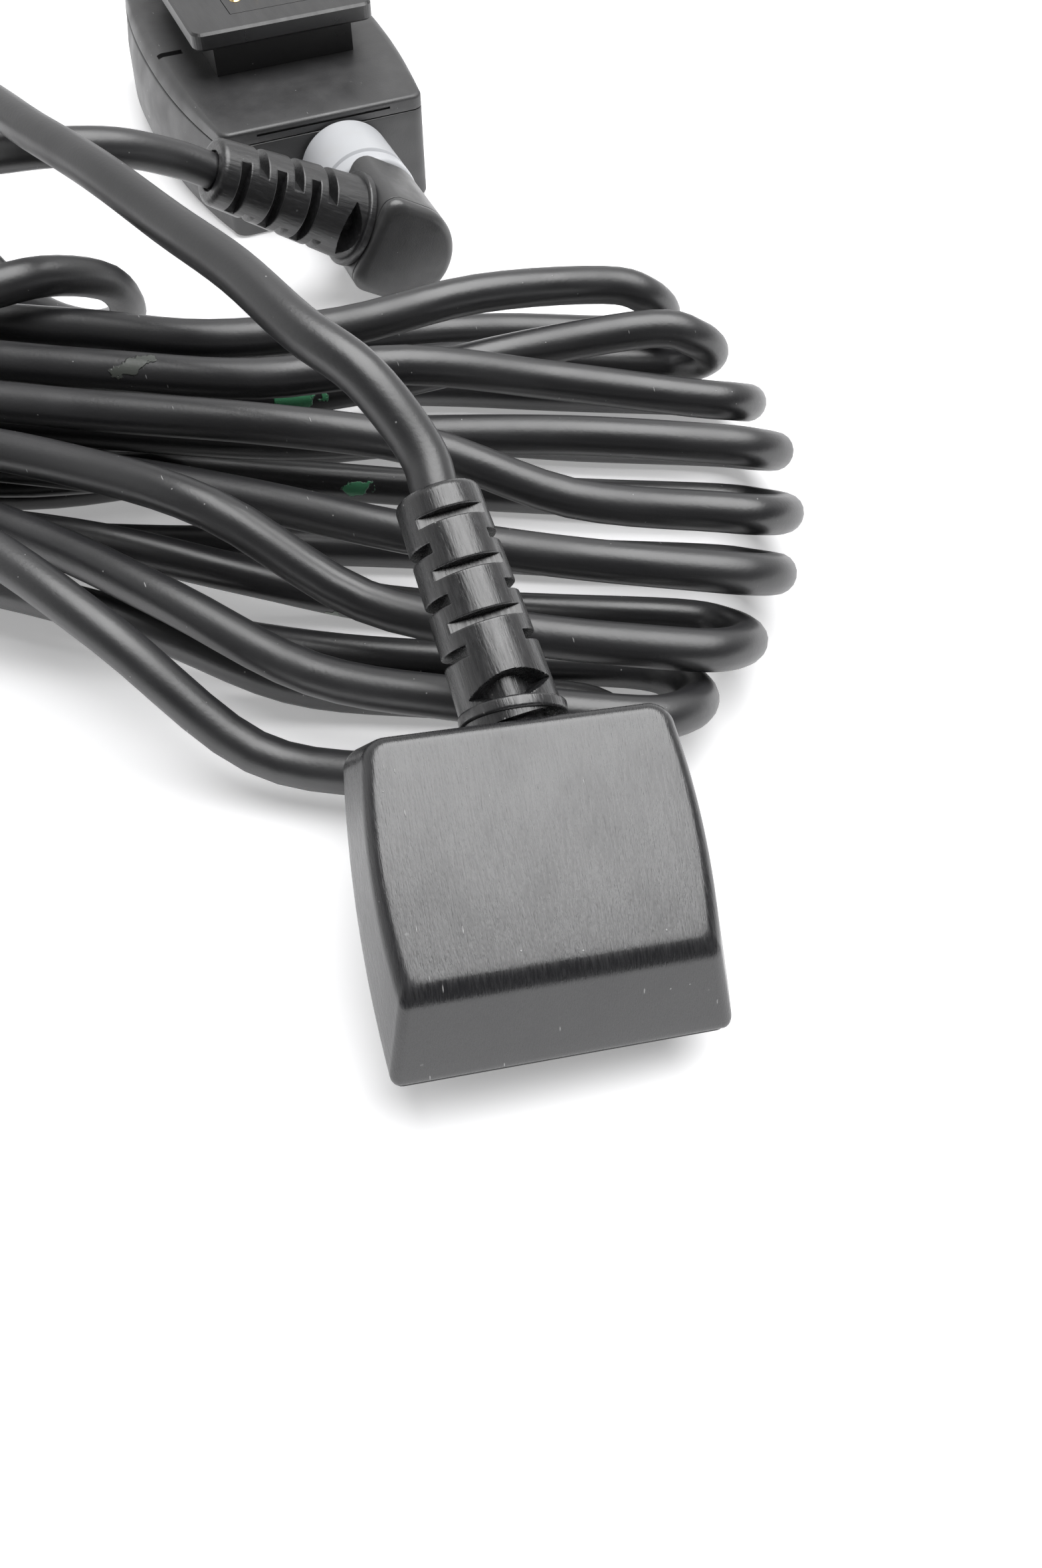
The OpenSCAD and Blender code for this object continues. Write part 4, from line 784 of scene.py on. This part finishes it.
def seat_ring(neck, radius, high):
    """A boot's neck, and the flat ring with rounded edges that closes its seat."""
    e, turns = 0.28, range(0, 91, 15)
    edge = [(radius - e + e * sind(a), e - e * cosd(a)) for a in turns]
    edge += [(radius - e + e * cosd(a), high - e + e * sind(a)) for a in turns]
    return lathe(neck + edge + [(1.5, high)])


def boot_finish(name, place, shine):
    """Soft PVC with the streaks that its mould left along the sleeve."""
    pvc = Finish(name, (0.014, 0.014, 0.015), shine, level=1.0, place=place)
    flow = pvc.noise((0.3, 0.3, 2.6), 4, 0.6)
    pvc.vary(flow, shine - 0.07, shine + 0.1)
    pvc.raise_by(flow, 0.04)
    pvc.raise_by(pvc.noise((0.12, 0.12, 0.6), 2), 0.008)
    pvc.paint(pvc.remap(pvc.noise((0.4, 0.4, 2), 4), 0.5, 0.72, 0, 0.6), (0.05, 0.05, 0.052))
    pvc.paint(pvc.calc("MULTIPLY", pvc.specks((0.7, 0.7, 0.9), 0.09, 0.08), 0.5), (0.35, 0.34, 0.32))
    pvc.dust(amount=0.6, round_share=0.25, hair_share=0.2)
    return pvc.done()


head_seat = HEAD @ Matrix.Translation(BOOT_SEAT) @ rotated(-90, "X")
head_boot = joined("head_boot_sleeve", [
    loft("sleeve", sleeve_rings(HEAD_SLEEVE, HEAD_BOOT_LENGTH, 90), HEAD_BOOT),
    loft("ring", seat_ring(HEAD_NECK, *HEAD_RING), head_seat)])
head_boot.data.materials.append(boot_finish("head_boot_pvc", HEAD_BOOT, 0.27))
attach(head_boot, "cord_set")
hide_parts("foot_boot")

plug_boot = joined("plug_boot_sleeve", [
    loft("sleeve", sleeve_rings(PLUG_SLEEVE, PLUG_BOOT_LENGTH, 0, PLUG_SLOT_GAP), PLUG_BOOT),
    loft("ring", seat_ring(PLUG_NECK, *PLUG_RING), PLUG_BOOT)])
plug_boot.data.materials.append(boot_finish("plug_boot_pvc", PLUG_BOOT, 0.36))
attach(plug_boot, "cord_set")
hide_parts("plug_boot")

# ---------------------------------------------------------------- right-angle housing
# The plug's housing of black nylon: a cup, round about the plug's axis and square to the
# cord, with a domed lid snapped on from behind. The boot clips into its flat side.
ELBOW_R, ELBOW_CORNER = 6.0, 1.9
CUP_H, SEAM, SEAM_DEEP, SEAM_R = 11.0, 0.06, 0.4, 0.12
CUP_EDGE, LID_EDGE = 0.6, 1.15


def elbow_ring(z, inset):
    """The housing's outline: round behind, with two rounded corners at the boot's side."""
    r, x = ELBOW_R - inset, ELBOW_END - inset
    c = min(ELBOW_CORNER, 0.6 * x)
    line = arc(x - c, r - c, c, 0, 90, 6) + arc(0, 0, r, 90, 270, 40) + arc(x - c, c - r, c, -90, 0, 6)
    return [Vector((px, py, ELBOW_Z + z)) for px, py in line]


def rounded_edge(z, radius, way, steps=6):
    """Heights and insets of a quarter round at z, opening upwards (1) or downwards (-1)."""
    angles = [90 * i / steps for i in range(steps + 1)]
    spots = [(z - way * radius * (1 - sind(a)), radius * (1 - cosd(a))) for a in angles]
    return spots if way > 0 else spots[::-1]


cup_line = (rounded_edge(0, CUP_EDGE, -1) + [(CUP_H - 0.3, 0)]
            + rounded_edge(CUP_H - SEAM, SEAM_R, 1, 3) + [(CUP_H - SEAM, SEAM_DEEP)])
housing = loft("plug_housing", [elbow_ring(z, inset) for z, inset in cup_line], ELBOW)
lid_line = ([(CUP_H - SEAM / 2, SEAM_DEEP)] + rounded_edge(CUP_H, SEAM_R, -1, 3)
            + rounded_edge(ELBOW_H, LID_EDGE, 1, 10) + [(ELBOW_H, 2.2), (ELBOW_H, 4.2)])
lid = loft("plug_lid", [elbow_ring(z, inset) for z, inset in lid_line], ELBOW)
nylon = Finish("nylon_housing", (0.042, 0.042, 0.043), 0.38, level=0.9, place=ELBOW)
nylon.vary(nylon.noise((2.5, 2.5, 2.5)), 0.32, 0.46)
nylon.raise_by(nylon.noise((0.2, 0.2, 0.2), 3), 0.014)
nylon.raise_by(nylon.noise((3, 3, 3), 2), 0.04)
nylon.paint(nylon.remap(nylon.noise((3, 3, 5), 4), 0.5, 0.8, 0, 0.5), (0.075, 0.075, 0.076))
nylon.dust(amount=0.5)
nylon_made = nylon.done()
for piece, node in ((housing, "plug_body"), (lid, "plug_cap")):
    piece.data.materials.append(nylon_made)
    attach(piece, "cord_set")
    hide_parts(node)

# ---------------------------------------------------------------- locking collar
# The collar that locks the plug: a turned ring of pale grey satin metal with rounded
# edges and a shallow groove for the fingers. It turns on the plug's shell.
COLLAR_R, COLLAR_L, COLLAR_EDGE, COLLAR_FROM = 6.2, 11.2, 0.75, 0.3
BARREL_R, STEM_R, STEP_Z = 4.4, 3.65, 7.2
# The finger groove: where its line runs along the collar, and how deep.
FINGER_GROOVE = [(8.5, 0), (8.6, 0.12), (8.72, 0.33), (9.0, 0.35), (9.28, 0.33), (9.4, 0.12), (9.5, 0)]
collar_top = COLLAR_FROM + COLLAR_L
quarter = range(0, 91, 10)
collar_line = [(BARREL_R + 0.25, COLLAR_FROM), (5.3, COLLAR_FROM)]
collar_line += [(COLLAR_R - COLLAR_EDGE * (1 - sind(a)), COLLAR_FROM + COLLAR_EDGE * (1 - cosd(a)))
                for a in quarter]
collar_line += [(COLLAR_R - deep, z) for z, deep in FINGER_GROOVE]
collar_line += [(COLLAR_R - COLLAR_EDGE * (1 - cosd(a)), collar_top - COLLAR_EDGE * (1 - sind(a)))
                for a in quarter]
collar_line += [(STEM_R + 0.3, collar_top), (STEM_R, COLLAR_L), (STEM_R, STEP_Z), (BARREL_R, STEP_Z),
                (BARREL_R, 0.5)]
collar = loft("collar_ring", lathe(collar_line, 128), PLUG, round_about=True)
pale = Finish("collar_satin", (0.52, 0.53, 0.55), 0.34, level=0.6, place=PLUG)
turned = pale.noise((1.5, 1.5, 0.09), 3)
pale.vary(turned, 0.28, 0.42)
pale.raise_by(turned, 0.006)
pale.paint(pale.remap(pale.noise((2.5, 2.5, 2.5), 4), 0.5, 0.8, 0, 0.5), (0.5, 0.5, 0.5))
pale.paint(pale.calc("MULTIPLY", pale.specks((1.4, 1.4, 1.4), 0.06, 0.3), 0.6), (0.25, 0.24, 0.23))
collar.data.materials.append(pale.done())
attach(collar, "collar")
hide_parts("lock_collar")

nickel = Finish("nickel_shell", (0.58, 0.57, 0.54), 0.22, metal=1.0, place=PLUG)
nickel.vary(nickel.noise((2, 2, 0.1)), 0.16, 0.32)
nickel.raise_by(nickel.noise((1.5, 1.5, 0.1), 2), 0.003)
nickel.paint(nickel.remap(nickel.noise((1.2, 1.2, 1.2), 4), 0.52, 0.75, 0, 0.6), (0.4, 0.37, 0.32))
dress(nickel, "plug_shell", "socket_shell")
insert = Finish("pale_insert", (0.62, 0.6, 0.54), 0.5, place=PLUG)
insert.vary(insert.noise((0.8, 0.8, 0.8)), 0.44, 0.58)
insert.raise_by(insert.noise((0.2, 0.2, 0.2), 2), 0.008)
insert.paint(insert.remap(insert.noise((0.9, 0.9, 0.9), 4), 0.5, 0.8, 0, 0.6), (0.45, 0.42, 0.36))
dress(insert, "plug_insert")

# ---------------------------------------------------------------- remote shoe
# The remote flash shoe: two shells of matte black ABS screwed together from below, with
# drafted bowed sides, a brass tripod bush in the base and the plug's socket at one end.
SHOE_L, SHOE_END_W, SHOE_LOW_H, SHOE_H, SHOE_CORNER = 52.0, 27.6, 12.1, 14.0, 1.6
SHOE_SEAM = 0.1
# Half its width at mid length, by height.
SHOE_MID = [(0, 16.9), (1, 17.3), (4, 18), (9, 17.6), (SHOE_LOW_H, 16.6),
            (SHOE_LOW_H + SHOE_SEAM, 16.5), (13.3, 15.9), (SHOE_H, 15.1)]
BUSH_R, BUSH_DEEP, SOCKET_R, SCREW_HEAD_R, SCREW_DEEP = 5.05, 9, 4.4, 1.1, 1.8
SCREW_X, SCREW_Y = (-11, 11), (-19.5, 21)
LOCK_SLOT = [(-15.3, -2.3), (-11.9, -2.3), (-11.9, -1.1), (-15.3, -1.1)]
LOCK_SLOT_DEEP = 0.6
END_GROOVE = [(-9, -26.6), (9, -26.6), (9, -25.72), (-9, -25.72)]
END_GROOVE_Z = (13.0, 13.3)


def shoe_half(z):
    for (low, a), (high, b) in zip(SHOE_MID, SHOE_MID[1:]):
        if z <= high:
            return lerp(a, b, (z - low) / (high - low))
    return SHOE_MID[-1][1]


def shoe_ring(z, inset):
    end, y_end, r = SHOE_END_W / 2 - inset, SHOE_L / 2 - inset, SHOE_CORNER
    bow = shoe_half(z) - SHOE_END_W / 2
    side = [(end + bow * (1 - abs(t / 24) ** 2.2), t / 24 * (y_end - r)) for t in range(-23, 24)]
    line = (arc(end - r, r - y_end, r, -90, 0, 7) + side + arc(end - r, y_end - r, r, 0, 90, 7)
            + arc(r - end, y_end - r, r, 90, 180, 7) + [(-x, y) for x, y in reversed(side)]
            + arc(r - end, r - y_end, r, 180, 270, 7))
    return [Vector((x, y, z)) for x, y in line]


def upright(line, low, high):
    return prism(line, low, high, Matrix.Identity(4))


low_line = (rounded_edge(0, 0.8, -1) + [(z, 0) for z in (1.6, 2.6, 4, 5.6, 7.4, 9, 10.6)]
            + rounded_edge(SHOE_LOW_H, 0.15, 1, 3))
top_line = (rounded_edge(SHOE_LOW_H + SHOE_SEAM, 0.12, -1, 3) + [(12.7, 0), (13.1, 0)]
            + rounded_edge(SHOE_H, 0.5, 1, 7) + [(SHOE_H, 1.2), (SHOE_H, 4)])
shoe_low, shoe_upper = (
    loft(name, [shoe_ring(z, inset) for z, inset in line], Matrix.Identity(4))
    for name, line in (("shoe_lower_shell", low_line), ("shoe_upper_shell", top_line)))
holes = [upright(arc(0, 0, BUSH_R, 0, 354, 59), -1, BUSH_DEEP),
         prism(arc(0, 0, SOCKET_R, 0, 354, 59), -12.6, 2, PLUG)]
holes += [upright(arc(x, y, SCREW_HEAD_R, 0, 350, 35), -1, SCREW_DEEP) for x in SCREW_X for y in SCREW_Y]
carve(shoe_low, holes, 28)
carve(shoe_upper, [upright(LOCK_SLOT, SHOE_H - LOCK_SLOT_DEEP, SHOE_H + 1),
                   upright(END_GROOVE, *END_GROOVE_Z)], 28)
shoe_abs = Finish("shoe_abs", (0.032, 0.032, 0.033), 0.42, level=0.9)
shoe_abs.vary(shoe_abs.noise((4, 4, 4)), 0.36, 0.5)
shoe_abs.raise_by(shoe_abs.noise((0.16, 0.16, 0.16), 3), 0.018)
shoe_abs.paint(shoe_abs.remap(shoe_abs.noise((5, 8, 5), 4), 0.5, 0.8, 0, 0.6), (0.065, 0.065, 0.066))
shoe_abs.paint(shoe_abs.calc("MULTIPLY", shoe_abs.specks((3, 0.9, 2), 0.07, 0.1), 0.35), (0.3, 0.3, 0.3))
shoe_abs.dust(amount=0.6)
shoe_made = shoe_abs.done()
for piece, node, slot in ((shoe_low, "shoe_body", "dark_plastic"),
                          (shoe_upper, "shoe_top", "head_plastic")):
    piece.data.materials.append(shoe_made)
    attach(piece, "remote_shoe")
    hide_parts(node)

# The rail that takes the flash, a harder and smoother moulding, and the turned bush.
rail_abs = Finish("rail_abs", (0.02, 0.02, 0.021), 0.33, level=0.8)
rail_abs.vary(rail_abs.noise((1.2, 7, 2)), 0.27, 0.4)
rail_abs.raise_by(rail_abs.noise((0.2, 1.2, 0.2), 3), 0.008)
rail_abs.paint(rail_abs.specks((2.4, 11, 2.4), 0.06, 0.2), (0.09, 0.09, 0.09))
rail_abs.dust(amount=0.6)
dress(rail_abs, "shoe_rail", "shoe_contact_block", "socket_insert")
THREAD_CELL = 8.06
brass = Finish("turned_brass", (0.62, 0.46, 0.22), 0.3, metal=1.0)
brass.vary(brass.noise((0.5, 0.5, 0.09)), 0.22, 0.42)
thread = brass.node("TexWave", wave_type="BANDS", bands_direction="Z", wave_profile="TRI")
thread.inputs["Scale"].default_value = 1
brass.join(brass.spot((THREAD_CELL, THREAD_CELL, THREAD_CELL)), thread.inputs["Vector"])
brass.raise_by(thread.outputs["Fac"], 0.3)
brass.paint(brass.remap(brass.noise((1.5, 1.5, 1.5), 4), 0.5, 0.75, 0, 0.6), (0.38, 0.27, 0.14))
dress(brass, "tripod_bush")

# ---------------------------------------------------------------- floor and light
# A pale sheet under everything, one wide soft lamp overhead, a little to the right, and
# a plain room round it, dimmer overhead and on the side that the viewer stands on.
FLOOR_HALF, FLOOR_GLOW = 3.0, 0.32
LAMP_AT, LAMP_AIM, LAMP_SIZE, LAMP_POWER = (0.16, -0.08, 0.70), (-0.02, -0.12, 0), 0.84, 8.4
floor_form = bmesh.new()
bmesh.ops.create_grid(floor_form, x_segments=1, y_segments=1, size=FLOOR_HALF)
floor = settle("floor", floor_form)
sheet = Finish("pale_floor", (0.86, 0.86, 0.87), 0.9, level=0.1)
rays = sheet.node("LightPath")
seen = sheet.calc("MAXIMUM", rays.outputs["Is Camera Ray"], rays.outputs["Is Glossy Ray"])
seen = sheet.calc("MAXIMUM", seen, rays.outputs["Is Transmission Ray"])
sheet.shader.inputs["Emission Color"].default_value = (1, 1, 1, 1)
sheet.join(sheet.calc("MULTIPLY", seen, FLOOR_GLOW), sheet.shader.inputs["Emission Strength"])
floor.data.materials.append(sheet.done())

world = bpy.data.worlds.new("room")
world.use_nodes = True
room, room_links = world.node_tree.nodes, world.node_tree.links
way = room.new("ShaderNodeTexCoord")
axes = room.new("ShaderNodeSeparateXYZ")
room_links.new(way.outputs["Generated"], axes.inputs["Vector"])


def room_range(source, low, high, out_low, out_high):
    made = room.new("ShaderNodeMapRange")
    made.interpolation_type = "SMOOTHSTEP"
    ends = {"From Min": low, "From Max": high, "To Min": out_low, "To Max": out_high}
    for name, value in ends.items():
        made.inputs[name].default_value = value
    room_links.new(source, made.inputs["Value"])
    return made.outputs["Result"]


height = room_range(axes.outputs["Z"], 0.35, 0.95, 1.0, 0.35)
depth = room_range(axes.outputs["Y"], -0.55, 0.35, 0.09, 0.8)
product = room.new("ShaderNodeMath")
product.operation = "MULTIPLY"
room_links.new(height, product.inputs[0])
room_links.new(depth, product.inputs[1])
room_links.new(product.outputs[0], room["Background"].inputs["Strength"])
room["Background"].inputs["Color"].default_value = (1, 1, 1, 1)
bpy.context.scene.world = world

lamp_data = bpy.data.lights.new("overhead", "AREA")
lamp_data.shape = "DISK"
lamp_data.size = LAMP_SIZE
lamp_data.energy = LAMP_POWER
lamp = bpy.data.objects.new("overhead", lamp_data)
lamp.location = LAMP_AT
lamp.rotation_euler = (Vector(LAMP_AIM) - Vector(LAMP_AT)).to_track_quat("-Z", "Y").to_euler()
bpy.context.collection.objects.link(lamp)

bpy.context.scene.view_settings.view_transform = "Standard"
